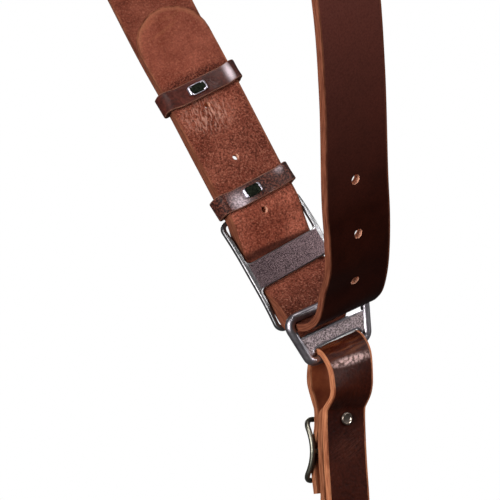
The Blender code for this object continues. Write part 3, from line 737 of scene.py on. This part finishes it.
# Painted highlights: a pale sheen laid where painted_sheen is high, smooth on the upper band and mottled by
# the cracks on the crazed lower band. painted_sheen also lowers the roughness there, and raises it at the
# band's ends where it is below zero.
smooth_sheen = spread(tree, grain["Fibre"], 0, 1, 0.7, 1.0)
mottled = mix(tree, crazed, smooth_sheen, spread(tree, cracks, 0, 0.7, 0.35, 1.0))
dark_side = wash(tree, dark_side, times(tree, painted_sheen, mottled), 0.9, shade(226, 208, 214))
lip = mix(tree, grain["Fibre"], shade(84, 46, 34), shade(150, 104, 84))
gloss = spread(tree, grain["Mottle"], 0, 1, 0.14, 0.32)
gloss = maths(tree, "ADD", gloss, spread(tree, painted_sheen, -1.0, 1.0, 0.5, -0.1))
feed(tree, shader.inputs, {
    "Base Color": mix(tree, edge["Mask"], dark_side, lip),
    "Roughness": plus(tree, gloss, edge["Mask"], 0.3),
    "Normal": bumps(tree, grain["Height"], 0.5, 0.2 * MM),
})
shader.inputs["Specular IOR Level"].default_value = 0.15

# The bare steel of all the fittings: cloudy tone, hairline scratches and grains of the casting
steel_wear, taken, given = new_group(
    "steel_wear", (("Place", None), ("Grains", 1500.0)), ("Tone", "Scratches", "Grain")
)
scratch = noise(steel_wear, stretched(steel_wear, taken["Place"], (260.0, 260.0, 2600.0)), 1.0)
feed(steel_wear, given, {
    "Tone": spread(steel_wear, noise(steel_wear, taken["Place"], 120.0, 5.0, 0.65), 0.3, 0.7),
    "Scratches": spread(steel_wear, scratch, 0.4, 0.62),
    "Grain": spread(steel_wear, noise(steel_wear, taken["Place"], taken["Grains"]), 0.35, 0.65),
})
dull_grey = shade(90, 80, 82)
panel_fade = 0.15 * MM


def steel(
    name, dark, light, polish, dull, grain_and_shade_dark=dull_grey, grain_and_shade_light=dull_grey, relief=0.02, panel=None
):
    """Bare metal between two tones, rougher where it is cloudy, and grained on the marked faces in their own
    two colours (near black on the keeper clips, as painted shade).

    A panel is a grained rectangle round the middle of a piece that carries its flat places as lay.
    """
    made, tree, shader = new_material(name)
    place = add(tree, "TexCoord").outputs["Object"]
    wear = use(tree, steel_wear, {"Place": place, "Grains": 2300.0 if panel else 1500.0})
    grain_and_shade = carried(tree, "grain_and_shade")
    if panel:
        sides = add(tree, "SeparateXYZ", {0: carried(tree, "lay", "Vector")}).outputs
        within = [
            spread(tree, maths(tree, "ABSOLUTE", sides[side]), half + panel_fade, half - panel_fade)
            for side, half in zip("XY", panel)
        ]
        grain_and_shade = times(tree, *within)
    tone = mix(tree, wear["Tone"], dark, light)
    grained = mix(tree, wear["Grain"], grain_and_shade_dark, grain_and_shade_light)
    smooth = plus(tree, spread(tree, wear["Tone"], 0, 1, dull, polish), wear["Scratches"], 0.08)
    lift = plus(tree, wear["Scratches"], times(tree, wear["Grain"], grain_and_shade), 6.0)
    feed(tree, shader.inputs, {
        "Base Color": mix(tree, grain_and_shade, tone, grained),
        "Roughness": plus(tree, smooth, grain_and_shade, 0.22),
        "Normal": bumps(tree, lift, 0.35, relief * MM),
    })
    shader.inputs["Metallic"].default_value = 1.0
    return made


# The clips' marked middles get near-black colours: painted shade standing in for a dark reflection.
clip_steel = steel(
    "clip_steel", shade(150, 144, 154), shade(206, 200, 212), polish=0.32, dull=0.42,
    grain_and_shade_dark=shade(12, 14, 11), grain_and_shade_light=shade(34, 38, 30),
)


def band_line(half_x, half_y, corner, bow):
    """A closed rounded rectangle of points, its front bowed out."""
    line = []
    for side_x, side_y, first in ((1, 1, 0), (-1, 1, 90), (-1, -1, 180), (1, -1, 270)):
        for step in range(13):
            angle = radians(first + 7.5 * step)
            x = side_x * (half_x - corner) + corner * cos(angle)
            line.append((x, side_y * (half_y - corner) + corner * sin(angle)))
        if first in (0, 180):
            shares = (0.8, 0.6, 0.4, 0.2, 0, -0.2, -0.4, -0.6, -0.8)
            line += [(half_x * share * side_y, half_y * side_y) for share in shares]
    line = np.array(line)
    front = line[:, 1] < 0
    line[front, 1] -= bow * np.clip(1 - (line[front, 0] / half_x) ** 2, 0, None)
    return line


def edit_faces(made, wanted):
    """Opens a mesh for editing with only the faces picked that pass a test."""
    bpy.ops.object.mode_set(mode="EDIT")
    bpy.ops.mesh.select_mode(type="FACE")
    bpy.ops.mesh.select_all(action="DESELECT")
    bpy.ops.object.mode_set(mode="OBJECT")
    for face in made.data.polygons:
        face.select = wanted(face)
    bpy.ops.object.mode_set(mode="EDIT")


def close_mesh(merge=0.0):
    """Joins the active piece's points that nearly meet, and turns all its faces outward."""
    bpy.ops.object.mode_set(mode="EDIT")
    bpy.ops.mesh.select_all(action="SELECT")
    if merge:
        bpy.ops.mesh.remove_doubles(threshold=merge)
    bpy.ops.mesh.normals_make_consistent(inside=False)
    bpy.ops.object.mode_set(mode="OBJECT")


def hand_waves(around, across, start):
    """The slight waves of leather that was wrapped by hand."""
    broad = np.sin(around / (2.1 * MM) + start) * np.cos(across / (2.6 * MM) + 0.8)
    return broad + 0.7 * np.sin(around / (1.3 * MM) - across / (2.2 * MM))


def keeper_band(name, placing, bow, lean, crazing, sheen_spots):
    """A strip bent round to a closed band, with its front bowed out and lower than its ends."""
    half_wall = keeper_wall / 2
    line = band_line(keeper_half_x + half_wall, keeper_half_y + half_wall, keeper_corner + half_wall, bow)
    line = np.roll(line, -keeper_butt, axis=0)
    closed = np.vstack([line, line[:1]])
    lengths = np.concatenate([[0], np.cumsum(np.linalg.norm(np.diff(closed, axis=0), axis=1))])
    girth = lengths[-1]
    band = leather_strip(
        name + "_band", keeper_width, girth, keeper_wall, keeper_edge_round, keeper_lanes, keeper_step
    )
    edit_faces(band, lambda face: abs(face.normal.y) > 0.2)
    bpy.ops.mesh.delete(type="FACE")
    bpy.ops.object.mode_set(mode="OBJECT")

    def on_line(where):
        return np.column_stack([np.interp(where, lengths, closed[:, k]) for k in (0, 1)])

    flat = points_of(band)
    across, level = flat[:, 0], flat[:, 2]
    low, high = flat[:, 1].min(), flat[:, 1].max()
    around = (flat[:, 1] - low) / (high - low) * girth
    x, y = on_line(around).T
    reach = 0.35 * MM
    ahead = on_line((around + reach) % girth) - on_line((around - reach) % girth)
    ahead /= np.linalg.norm(ahead, axis=1)[:, None]
    level = level + np.where(level > 0, keeper_waves * hand_waves(around, across, 9 * bow / MM), 0)
    leaning = lean * np.clip(y / keeper_half_y, -1, 1)
    leaning *= np.clip((keeper_half_x - np.abs(x)) / keeper_lean_reach, 0, 1)
    bent = [x + ahead[:, 1] * level, y - ahead[:, 0] * level, leaning - across]
    stand(band, placing, np.column_stack(bent))
    band.data.attributes["inset"].data.foreach_set("value", keeper_width / 2 - np.abs(across))
    # painted_sheen: below zero towards the ends, which leaves them rougher, and raised at each painted
    # highlight on the front
    painted_sheen = -np.clip((np.abs(x) - keeper_half_x + keeper_corner) / keeper_corner, 0, 1)
    for sheen_x, sheen_z, reach_x, reach_z, strength in sheen_spots:
        spot = ((x - sheen_x * MM) / (reach_x * MM)) ** 2 + ((-across - sheen_z * MM) / (reach_z * MM)) ** 2
        painted_sheen += np.where(y < 0, strength * np.exp(-spot), 0)
    carry(band, "painted_sheen", painted_sheen)
    carry(band, "crazed", np.full(len(x), crazing))
    close_mesh(merge=0.02 * MM)
    finish_piece(band, keeper_leather, name, smooth=50)


def keeper_clip(name, placing, painted_dark):
    """An oblong of pressed sheet with rolled ends and a shallow dip in the middle, painted near black as
    shade.
    """
    clip = flat_grid(name + "_dressed", 44, 12)
    share_x, share_z = points_of(clip)[:, :2].T * 2
    outward = np.abs(share_x)
    x = clip_length / 2 * share_x
    z = clip_height / 2 * share_z * (1 - 0.3 * outward**4)
    rolled = np.clip(1 - ((outward - clip_roll_middle) / clip_roll_half) ** 2, 0, 1) ** 0.5
    roll = clip_thickness * np.maximum(rolled, np.where(outward < clip_roll_middle, 0.5, 0.15))
    roll *= 1 - 0.16 * np.abs(share_z) ** 4
    move_points(clip, np.column_stack([x, -roll, z]))
    thicken(clip, clip_sheet, -1)
    soften(clip, clip_edge_round, segments=2, sharp=50)
    dark_x, dark_z = painted_dark[0] * clip_length / 2, painted_dark[1] * clip_height / 2
    # The middle faces are marked, for the clip steel to paint near black as shade.
    mark_faces(
        clip, "grain_and_shade", lambda face: abs(face.center.x / dark_x) ** 3 + abs(face.center.z / dark_z) ** 3 < 1
    )
    stand(clip, placing)
    finish_piece(clip, clip_steel, name)


def keeper(name, along, bow, skew, drop, lean, clip_aside, clip_low, painted_dark, crazing, sheen_spots):
    """One band and its clip, added round the far run at a place along it.

    The band's front is bowed out, turned by skew, and leans lower than its ends. The clip is moved aside and
    down, painted_dark gives the share of its length and height that is painted near black as shade, and
    sheen_spots lists the painted highlights of the band.
    """
    twist = far_twist(along)
    placing = in_far @ Matrix.Translation((-over_ends * sin(twist), -over_ends * cos(twist), along))
    placing = placing @ Euler((0, -skew, -twist)).to_matrix().to_4x4()
    placing = placing @ Matrix.Translation((against_bar(along) * keeper_follows, 0, -drop))
    keeper_band(name, placing, bow, lean, crazing, sheen_spots)
    clip_out = keeper_half_y + bow + keeper_wall + strap_gap
    seated = placing @ Matrix.Translation((-clip_aside, -clip_out, -lean - clip_low))
    keeper_clip(name + "_clip", seated, painted_dark)


# The painted highlights on the bands' fronts: across and up in mm, how far each way, and how strongly
upper_sheen_spots = [(15.8, 0, 1.8, 5, 1.6)]
lower_sheen_spots = [(-11.5, -2, 4.4, 4.2, 1.15), (15, 3, 2.2, 1.2, 0.8)]
keeper(
    "keeper_upper", keeper_upper_along, bow=0.8 * MM, skew=radians(2.4), drop=0, lean=1.2 * MM,
    clip_aside=3.2 * MM, clip_low=0.2 * MM, painted_dark=(0.8, 0.8), crazing=0.1, sheen_spots=upper_sheen_spots,
)
keeper(
    "keeper_lower", keeper_lower_along, bow=0.2 * MM, skew=radians(4), drop=0.4 * MM, lean=0.8 * MM,
    clip_aside=3.4 * MM, clip_low=0, painted_dark=(0.72, 1.6), crazing=0.9, sheen_spots=lower_sheen_spots,
)

# Slide buckle: one flat casting with two windows and a plate between them, its ends bowed forward so that
# they stand over the straps. Dark nickel; the bare plate is grained all over.
slide_side_play = 1.6 * MM
slide_corner = 5 * MM
slide_skew = radians(1.5)
slide_plate_slant = radians(3.5)
slide_edge_round = 0.8 * MM
panel_border = 0.5 * MM
upright_step = 1.2 * MM
slide_half_x = strap_width / 2 + slide_side_play + slide_bar_width
window_half_x = slide_half_x - slide_bar_width
window_end = slide_length / 2 - slide_bar_width
window_corner = slide_corner - slide_bar_width
plate_half = slide_plate_height / 2


def rounded_window(half_x, low, high, corner):
    """Points round a rectangle with round corners, closely spaced on its upright sides."""
    line = []
    tall = high - low - 2 * corner
    rows = max(2, round(tall / upright_step))
    top, foot = high - corner, low + corner
    for side, z, first in ((1, top, 0), (-1, top, 90), (-1, foot, 180), (1, foot, 270)):
        x = side * (half_x - corner)
        turns = [radians(first + a) for a in range(0, 91, 9)]
        line += [(x + corner * cos(turn), z + corner * sin(turn)) for turn in turns]
        if first in (90, 270):
            line += [(x + side * corner, z + side * tall * i / rows) for i in range(1, rows)]
    return line


def curve_to_piece(name, data):
    pick(put_in_scene(name, data))
    bpy.ops.object.convert(target="MESH")
    close_mesh(merge=0.005 * MM)
    return bpy.context.object


def flat_casting(name, outline, windows, thickness, rounding):
    """A flat plate with rounded edges, from closed outlines, made a mesh."""
    data = bpy.data.curves.new(name, "CURVE")
    data.dimensions = "2D"
    data.fill_mode = "BOTH"
    data.extrude = thickness / 2 - rounding
    data.bevel_depth = rounding
    data.bevel_resolution = 3
    data.offset = -rounding
    for line in [outline] + [list(reversed(window)) for window in windows]:
        spline = data.splines.new("POLY")
        spline.points.add(len(line) - 1)
        for point, (x, y) in zip(spline.points, line):
            point.co = (x, y, 0, 1)
        spline.use_cyclic_u = True
    return curve_to_piece(name, data)


slide = flat_casting(
    "slide_casting",
    rounded_window(slide_half_x, -slide_length / 2, slide_length / 2, slide_corner),
    [
        rounded_window(window_half_x, plate_half, window_end, window_corner),
        rounded_window(window_half_x, -window_end, -plate_half, window_corner),
    ],
    slide_bar_depth,
    slide_edge_round,
)
flat = points_of(slide)
carry(slide, "lay", flat)
bend = slide_bow * np.clip(np.abs(flat[:, 1]) - plate_half, 0, None) ** 2 / (slide_end - plate_half) ** 2
slant = flat[:, 0] * tan(slide_plate_slant) * np.clip(1 - np.abs(flat[:, 1]) / window_end, 0, None)
placing = in_far @ Matrix.Translation((0, 0, -slide_drop))
placing = placing @ Euler((0, -slide_skew, -slide_twist)).to_matrix().to_4x4()
stand(slide, placing, np.column_stack([flat[:, 0], bend - flat[:, 2], flat[:, 1] + slant]))
slide_steel = steel(
    "slide_steel", shade(88, 88, 88), shade(140, 138, 140), polish=0.3, dull=0.4, grain_and_shade_dark=shade(20, 14, 16),
    grain_and_shade_light=shade(118, 99, 102), relief=0.03, panel=(window_half_x, plate_half - panel_border),
)
finish_piece(slide, slide_steel, "slide_buckle")

# Ring: thick steel wire bent to a tapering four-sided ring and soldered shut, with a plate soldered across
# it that parts the wide strap's slot from the leash's. Polished wire; the plate is bare and grained.
ring_side_play = 2.4 * MM
ring_slot = 7.9 * MM
ring_plate_height = 7.4 * MM
ring_plate_side_height = 10 * MM
ring_plate_thickness = 2.4 * MM
ring_plate_border = 0.7 * MM
ring_plate_slope = 0.2 * MM
ring_plate_recess = 0.3 * MM
ring_plate_edge_round = 0.3 * MM
ring_leash_slot = 3.7 * MM
ring_arch_play = 1.7 * MM
ring_arch_corner = 2.5 * MM
ring_corner = 4.2 * MM
leash_width = 25 * MM
wire_step = 1.5 * MM
plate_top = ring_wire + ring_slot
plate_bottom = plate_top + ring_plate_height
plate_foot = plate_top + ring_plate_side_height
arch_half = leash_width / 2 + ring_arch_play
ring_drop = plate_bottom + ring_leash_slot + ring_wire


def ring_half_x(drop):
    wide = strap_width / 2 + ring_side_play + ring_wire
    narrow = leash_width / 2 + ring_side_play + ring_wire
    return wide + (narrow - wide) * drop / ring_drop


def rounded_corners(corners, radius, segments):
    """A closed line with each corner turned at a radius."""
    line = []
    for before, here, after in zip(corners[-1:] + corners[:-1], corners, corners[1:] + corners[:1]):
        here = Vector(here)
        back = (Vector(before) - here).normalized()
        ahead = (Vector(after) - here).normalized()
        half = back.angle(ahead) / 2
        middle = here + (back + ahead).normalized() * radius / sin(half)
        start = (here + back * radius / tan(half) - middle).normalized()
        end = (here + ahead * radius / tan(half) - middle).normalized()
        line += [middle + start.slerp(end, step / segments) * radius for step in range(segments + 1)]
    return line


def close_points(line, step):
    """The same closed line with points no further apart than a step."""
    filled = []
    for here, after in zip(line, line[1:] + line[:1]):
        parts = max(1, round((Vector(after) - Vector(here)).length / step))
        filled += [Vector(here).lerp(Vector(after), i / parts) for i in range(parts)]
    return filled


def wire_piece(name, line, radius, closed=True):
    """Round wire along a line, made a mesh."""
    data = bpy.data.curves.new(name, "CURVE")
    data.dimensions = "3D"
    data.bevel_depth = radius
    data.bevel_resolution = 6
    data.use_fill_caps = True
    spline = data.splines.new("POLY")
    spline.points.add(len(line) - 1)
    for point, where in zip(spline.points, line):
        point.co = (*where, 1)
    spline.use_cyclic_u = closed
    return curve_to_piece(name, data)


def four_sided_wire(name, top_half, foot_half, foot, corner, segments, wire):
    """A closed four-sided ring of wire with round corners, its top bar through the origin."""
    corners = [(-top_half, 0, 0), (top_half, 0, 0), (foot_half, 0, foot), (-foot_half, 0, foot)]
    return wire_piece(name, close_points(rounded_corners(corners, corner, segments), wire_step), wire)


def mesh_piece(name, points, edges, faces):
    data = bpy.data.meshes.new(name)
    data.from_pydata(points, edges, faces)
    return put_in_scene(name, data)


def on_plate_floor(face):
    """Whether a face of the ring lies on the recessed ground of its plate."""
    depth = abs(face.center.y) - ring_plate_thickness / 2 + ring_plate_recess
    return abs(face.normal.y) > 0.9 and -face.center.z > plate_top and abs(depth) < 0.05 * MM


ring = four_sided_wire(
    "ring_wire", ring_half_x(0), ring_half_x(ring_drop), -ring_drop, ring_corner, 10, ring_wire
)
half_outline = [
    (ring_half_x(plate_top), -plate_top),
    (ring_half_x(plate_foot), -plate_foot),
    (arch_half, -plate_foot),
]
for turn in range(0, 91, 15):
    x = arch_half - ring_arch_corner * (1 - cos(radians(turn)))
    half_outline.append((x, -plate_bottom - ring_arch_corner * (1 - sin(radians(turn)))))
outline = half_outline + [(-x, z) for x, z in reversed(half_outline)]
plate = mesh_piece("ring_plate", [(x, 0, z) for x, z in outline], [], [range(len(outline))])
thicken(plate, ring_plate_thickness)
apply_modifiers(plate)
close_mesh()
edit_faces(plate, lambda face: abs(face.normal.y) > 0.9)
bpy.ops.mesh.inset(thickness=ring_plate_border, depth=0)
bpy.ops.mesh.inset(thickness=ring_plate_slope, depth=-ring_plate_recess)
bpy.ops.object.mode_set(mode="OBJECT")
soften(plate, ring_plate_edge_round, segments=2, sharp=60)
combine(ring, plate)
mark_faces(ring, "grain_and_shade", on_plate_floor)
stand(ring, in_loop)
ring_steel = steel(
    "ring_steel", shade(118, 112, 118), shade(180, 174, 180), polish=0.28, dull=0.38,
    grain_and_shade_dark=shade(92, 80, 82), grain_and_shade_light=shade(202, 184, 186),
)
finish_piece(ring, ring_steel, "ring")

# Leash: a narrower strip that turns over the ring's lower bar, runs down to an end clasp, back up to a
# rivet, and has a small bowed buckle on its rear run. Dark oiled leather, creased where it bends.
leash_thickness = 2.8 * MM
leash_edge_round = 0.6 * MM
leash_tip = 8 * MM
leash_lanes = 12
leash_step = 1.1 * MM
rivet_drop = 33 * MM
rivet_head_radius = 3.2 * MM
rivet_head_height = 1.1 * MM
rivet_shank = 1.5 * MM
leash_turn = radians(8)
leash_buckle_drop = 48.5 * MM
leash_buckle_length = 32 * MM
leash_buckle_wire = 1.3 * MM
leash_buckle_bar = 1.22 * MM
leash_buckle_side_play = 0.9 * MM
leash_buckle_flare = 6.0 * MM
leash_buckle_corner = 3 * leash_buckle_wire
clasp_drop = 92 * MM
clasp_wire = 2.0 * MM

leash_top = in_loop @ Vector((0, 0, -ring_drop))
leash_seat = ring_wire + strap_gap + leash_thickness / 2
middle_y = -0.3 * MM
front_y = middle_y - leash_thickness - strap_gap
rear_y = middle_y + leash_thickness + strap_gap
clasp_seat = clasp_wire + strap_gap + leash_thickness / 2
buckle_bar_y = middle_y + leash_thickness / 2 + strap_gap + leash_buckle_wire
bowed_rear_y = buckle_bar_y + leash_buckle_wire + strap_gap + leash_thickness / 2
buckle_end = leash_buckle_drop + leash_buckle_length / 2
rivet_flat = rivet_head_radius * 1.3
# The leash's line from its rear end up, over the bar, down the front, round the clasp and up to the middle
leash_rows = [
    (rear_y + leash_thickness * 0.1, -buckle_end - leash_thickness * 1.6),
    (bowed_rear_y - leash_thickness * 0.2, -leash_buckle_drop - leash_buckle_length * 0.28),
    (bowed_rear_y, -leash_buckle_drop),
    ((rear_y + bowed_rear_y) / 2, -(leash_buckle_drop + rivet_drop + rivet_flat) / 2),
    (rear_y, -rivet_drop - rivet_flat),
    (rear_y, -rivet_drop + rivet_flat),
    (rear_y + leash_thickness * 0.6, -rivet_drop * 0.73),
    (rear_y + leash_thickness * 2.0, -rivet_drop * 0.42),
    (rear_y + leash_thickness * 2.6, -rivet_drop * 0.18),
    (rear_y + leash_thickness * 2.0, -leash_seat * 0.1),
    (rear_y + leash_thickness * 0.7, leash_seat * 0.75),
    (0, leash_seat),
    (-leash_seat * 0.9, leash_seat * 0.55),
    (-leash_seat * 1.55, -leash_seat * 0.6),
    (-leash_seat * 2.1, -leash_seat * 2.2),
    (-leash_seat * 2.3, -rivet_drop * 0.5),
    (front_y - leash_thickness * 1.6, -rivet_drop * 0.66),
    (front_y - leash_thickness * 0.4, -rivet_drop * 0.8),
    (front_y, -rivet_drop + rivet_flat),
    (front_y, -rivet_drop - rivet_flat),
    (front_y - leash_thickness * 0.4, -leash_buckle_drop * 1.1),
    (front_y - leash_thickness * 1.0, -leash_buckle_drop * 1.45),
    (front_y - clasp_seat * 0.95, -clasp_drop + clasp_seat * 2.6),
    (front_y - clasp_seat, -clasp_drop),
    (front_y - clasp_seat * 0.71, -clasp_drop - clasp_seat * 0.71),
    (front_y, -clasp_drop - clasp_seat),
    (front_y + clasp_seat * 0.71, -clasp_drop - clasp_seat * 0.71),
    (front_y + clasp_seat, -clasp_drop),
    (front_y + clasp_seat * 0.95, -clasp_drop + clasp_seat * 2.0),
    (middle_y - leash_thickness * 0.6, -leash_buckle_drop * 1.45),
    (middle_y, -leash_buckle_drop),
    (middle_y, -rivet_drop),
    (middle_y + leash_thickness * 0.3, -rivet_drop * 0.74),
]
leash_lay = Lay([(0, y, z, 0) for y, z in leash_rows], reach=0.5 * MM)


def hang(place):
    """Turns a place on the leash about the bar's middle: square to the bar above it, plumb below it."""
    share = share_of(-place.z, rivet_drop)
    settled = share_of(-place.z, rivet_drop * 0.5)
    square = place.z * (1 - settled) ** 2
    turn = Matrix.Rotation(leash_turn * settled, 3, "Z")
    turn = turn @ Matrix.Rotation(-loop_lean * (1 - share) ** 2 * (1 + 2 * share), 3, "Y")
    return turn @ Vector((place.x, place.y, square)) + Vector((0, 0, place.z - square)) + leash_top


low_leash = Matrix.Translation(leash_top) @ Matrix.Rotation(leash_turn, 4, "Z")
rivet_half = 1.5 * leash_thickness + strap_gap
rivet_holes = []
for y, low, high in ((rear_y, 0, 0.25), (front_y, 0.25, 0.7), (middle_y, 0.7, 1)):
    flat_hole = leash_lay.flat_place((0, y, -rivet_drop), leash_lay.length * low, leash_lay.length * high)
    rivet_holes.append((*flat_hole, rivet_shank + strap_gap))
leash = leather_strip(
    "leash_strip", leash_width, leash_lay.length, leash_thickness, leash_edge_round, leash_lanes, leash_step,
    end_tip=leash_tip, holes=rivet_holes,
)
bend_strip(leash, leash_lay, Matrix.Identity(4))
move_points(leash, [hang(Vector(place)) for place in points_of(leash)])

band_y = leash_lay.flat_place((0, -leash_seat * 1.7, -leash_seat), 0, leash_lay.length)[1]
crest_y = leash_lay.flat_place((0, 0, leash_seat), 0, leash_lay.length)[1]
front_rivet_y = rivet_holes[1][1]
clasp_y = (front_rivet_y + rivet_holes[2][1]) / 2
leash_leather, tree, shader, place, grain, edge = new_leather(
    "leash_leather_dressed", grits=620.0, fibres=2400.0, skive=0.8 * MM
)
way = add(tree, "SeparateXYZ", {0: place}).outputs
outer = spread(tree, way["Z"], 0.3 * MM, -0.3 * MM)
bend_lines = streak_patch(tree, place, (0.0, crest_y + 4 * MM, 0.0), 90, 13, 22, 9.0)
pulled = streak_patch(tree, place, (1 * MM, front_rivet_y + 13 * MM, 0.0), 62, 11, 18, 15.0)
# painted_highlight_band: a painted highlight across the front just below the crest, broken up by the grit
painted_highlight_band = streak_patch(tree, place, (0.0, band_y + 1.2 * MM, 0.0), 6, 21, 3.4, 9.0)
rough_side = mix(tree, grain["Mottle"], shade(96, 42, 26), shade(140, 74, 46))
grain_side = mix(tree, grain["Mottle"], shade(42, 11, 5), shade(64, 24, 13))
grain_side = tint(tree, grain_side, spread(tree, grain["Grit"], 0, 1, 0.7, 1.3))
grain_side = wash(tree, grain_side, bend_lines["Streaks"], 0.42, shade(122, 62, 30))
grain_side = wash(tree, grain_side, pulled["Streaks"], 0.35, shade(104, 52, 36))
broken_highlight = times(tree, painted_highlight_band["Patch"], painted_highlight_band["Patch"])
broken_highlight = times(tree, broken_highlight, spread(tree, grain["Grit"], 0.3, 0.75, 0.15, 1.0))
grain_side = wash(tree, grain_side, broken_highlight, 0.85, shade(226, 188, 182))
# Painted shade: the cut edges of the rear and middle runs are coloured darker than those of the front run.
painted_edge_shade = spread(tree, way["Y"], crest_y - 12 * MM, crest_y - 4 * MM, 0.66, 1.0)
painted_edge_shade = times(tree, painted_edge_shade, spread(tree, way["Y"], clasp_y, clasp_y + 4 * MM, 1.0, 0.66))
tan_edge = tint(tree, mix(tree, edge["Layers"], shade(136, 74, 48), shade(200, 130, 92)), painted_edge_shade)
gloss = plus(tree, spread(tree, grain["Fibre"], 0, 1, 0.36, 0.48), bend_lines["Patch"], -0.14)
relief = plus(tree, grain["Height"], bend_lines["Streaks"], 0.8)
relief = plus(tree, relief, pulled["Streaks"], 0.35)
feed(tree, shader.inputs, {
    "Base Color": mix(tree, edge["Mask"], mix(tree, outer, rough_side, grain_side), tan_edge),
    "Roughness": plus(tree, gloss, edge["Mask"], 0.25),
    "Normal": bumps(tree, relief, 0.85, 0.22 * MM),
})
shader.inputs["Specular IOR Level"].default_value = 0.08
finish_piece(leash, leash_leather, "leash_strap")

# Rivet: a turned steel rivet through the leash's three layers, with a flat dished head on each side.
# Its profile is spun about the shank.
head_profile = [
    (0.0, 0.25), (0.5, 0.25), (0.64, 0.32), (0.72, 0.72),
    (0.81, 0.94), (0.91, 0.88), (1.0, 0.45), (0.99, 0.0),
]
head_foot = rivet_half + strap_gap
profile = [(x * rivet_head_radius, head_foot + z * rivet_head_height) for x, z in head_profile]
profile.append((rivet_shank, head_foot))
profile += [(x, -z) for x, z in reversed(profile)]
steps = [(i, i + 1) for i in range(len(profile) - 1)]
rivet = mesh_piece("rivet_turned", [(x, 0, z) for x, z in profile], steps, [])
turned = rivet.modifiers.new("turned", "SCREW")
turned.axis = "Z"
turned.steps = turned.render_steps = 48
turned.use_merge_vertices = True
turned.merge_threshold = 0.02 * MM
apply_modifiers(rivet)
close_mesh()
stand(rivet, low_leash @ Matrix.Translation((0, middle_y, -rivet_drop)) @ Matrix.Rotation(pi / 2, 4, "X"))
rivet_steel = steel("rivet_steel", shade(104, 92, 84), shade(150, 138, 128), polish=0.22, dull=0.36)
finish_piece(rivet, rivet_steel, "leash_rivet")

# Small bowed buckle: a closed wire frame whose ends flare to the rear, soldered to the bar across its
# middle that the leash's rear run passes behind. Dark olive-grey steel.
half_x = leash_width / 2 + leash_buckle_side_play + leash_buckle_wire
half_z = leash_buckle_length / 2 - leash_buckle_wire
line = rounded_window(half_x, -half_z, half_z, leash_buckle_corner)
bowed = [(x, leash_buckle_flare * (z / half_z) ** 2, z) for x, z in line]
buckle = wire_piece("bowed_buckle", bowed, leash_buckle_wire)
combine(buckle, wire_piece("bowed_buckle_bar", [(-half_x, 0, 0), (half_x, 0, 0)], leash_buckle_bar, False))
stand(buckle, low_leash @ Matrix.Translation((0, buckle_bar_y, -leash_buckle_drop)))
buckle_steel = steel("bowed_buckle_steel", shade(84, 82, 72), shade(130, 126, 114), polish=0.26, dull=0.4)
finish_piece(buckle, buckle_steel, "leash_buckle")

# End clasp: an eye for the leash, a turned neck and a closed oval loop, all one plain piece of steel,
# below the photograph's edge.
clasp_eye_height = 8.4 * MM
clasp_side_play = 2.4 * MM
clasp_taper = 0.8
clasp_neck_radius = 3.0 * MM
clasp_neck_length = 9 * MM
clasp_neck_round = 0.9 * MM
clasp_loop_width = 17 * MM
clasp_loop_height = 27 * MM
clasp_corner = clasp_wire * 1.3
clasp_loop_wire = clasp_wire * 1.1
eye_half_x = leash_width / 2 + clasp_side_play + clasp_wire
neck_top = -clasp_eye_height - clasp_wire
neck_middle = neck_top - clasp_neck_length / 2
loop_half_x = clasp_loop_width / 2 - clasp_wire
loop_half_z = clasp_loop_height / 2 - clasp_wire
loop_middle = neck_top - clasp_neck_length - clasp_loop_height / 2 + clasp_wire
clasp = four_sided_wire(
    "end_clasp", eye_half_x, eye_half_x * clasp_taper, neck_top, clasp_corner, 8, clasp_wire
)
bpy.ops.mesh.primitive_cylinder_add(
    vertices=32, radius=clasp_neck_radius, depth=clasp_neck_length, location=(0, 0, neck_middle)
)
neck = bpy.context.object
soften(neck, clasp_neck_round, segments=3, sharp=30)
bpy.ops.object.transform_apply(location=True, rotation=True, scale=True)
combine(clasp, neck)
turns = [2 * pi * i / 72 for i in range(72)]
oval = [(loop_half_x * cos(turn), 0, loop_middle + loop_half_z * sin(turn)) for turn in turns]
combine(clasp, wire_piece("clasp_oval", oval, clasp_loop_wire))
stand(clasp, low_leash @ Matrix.Translation((0, front_y, -clasp_drop)))
clasp_steel = steel("clasp_steel", shade(120, 116, 118), shade(170, 166, 168), polish=0.2, dull=0.32)
finish_piece(clasp, clasp_steel, "leash_clasp")
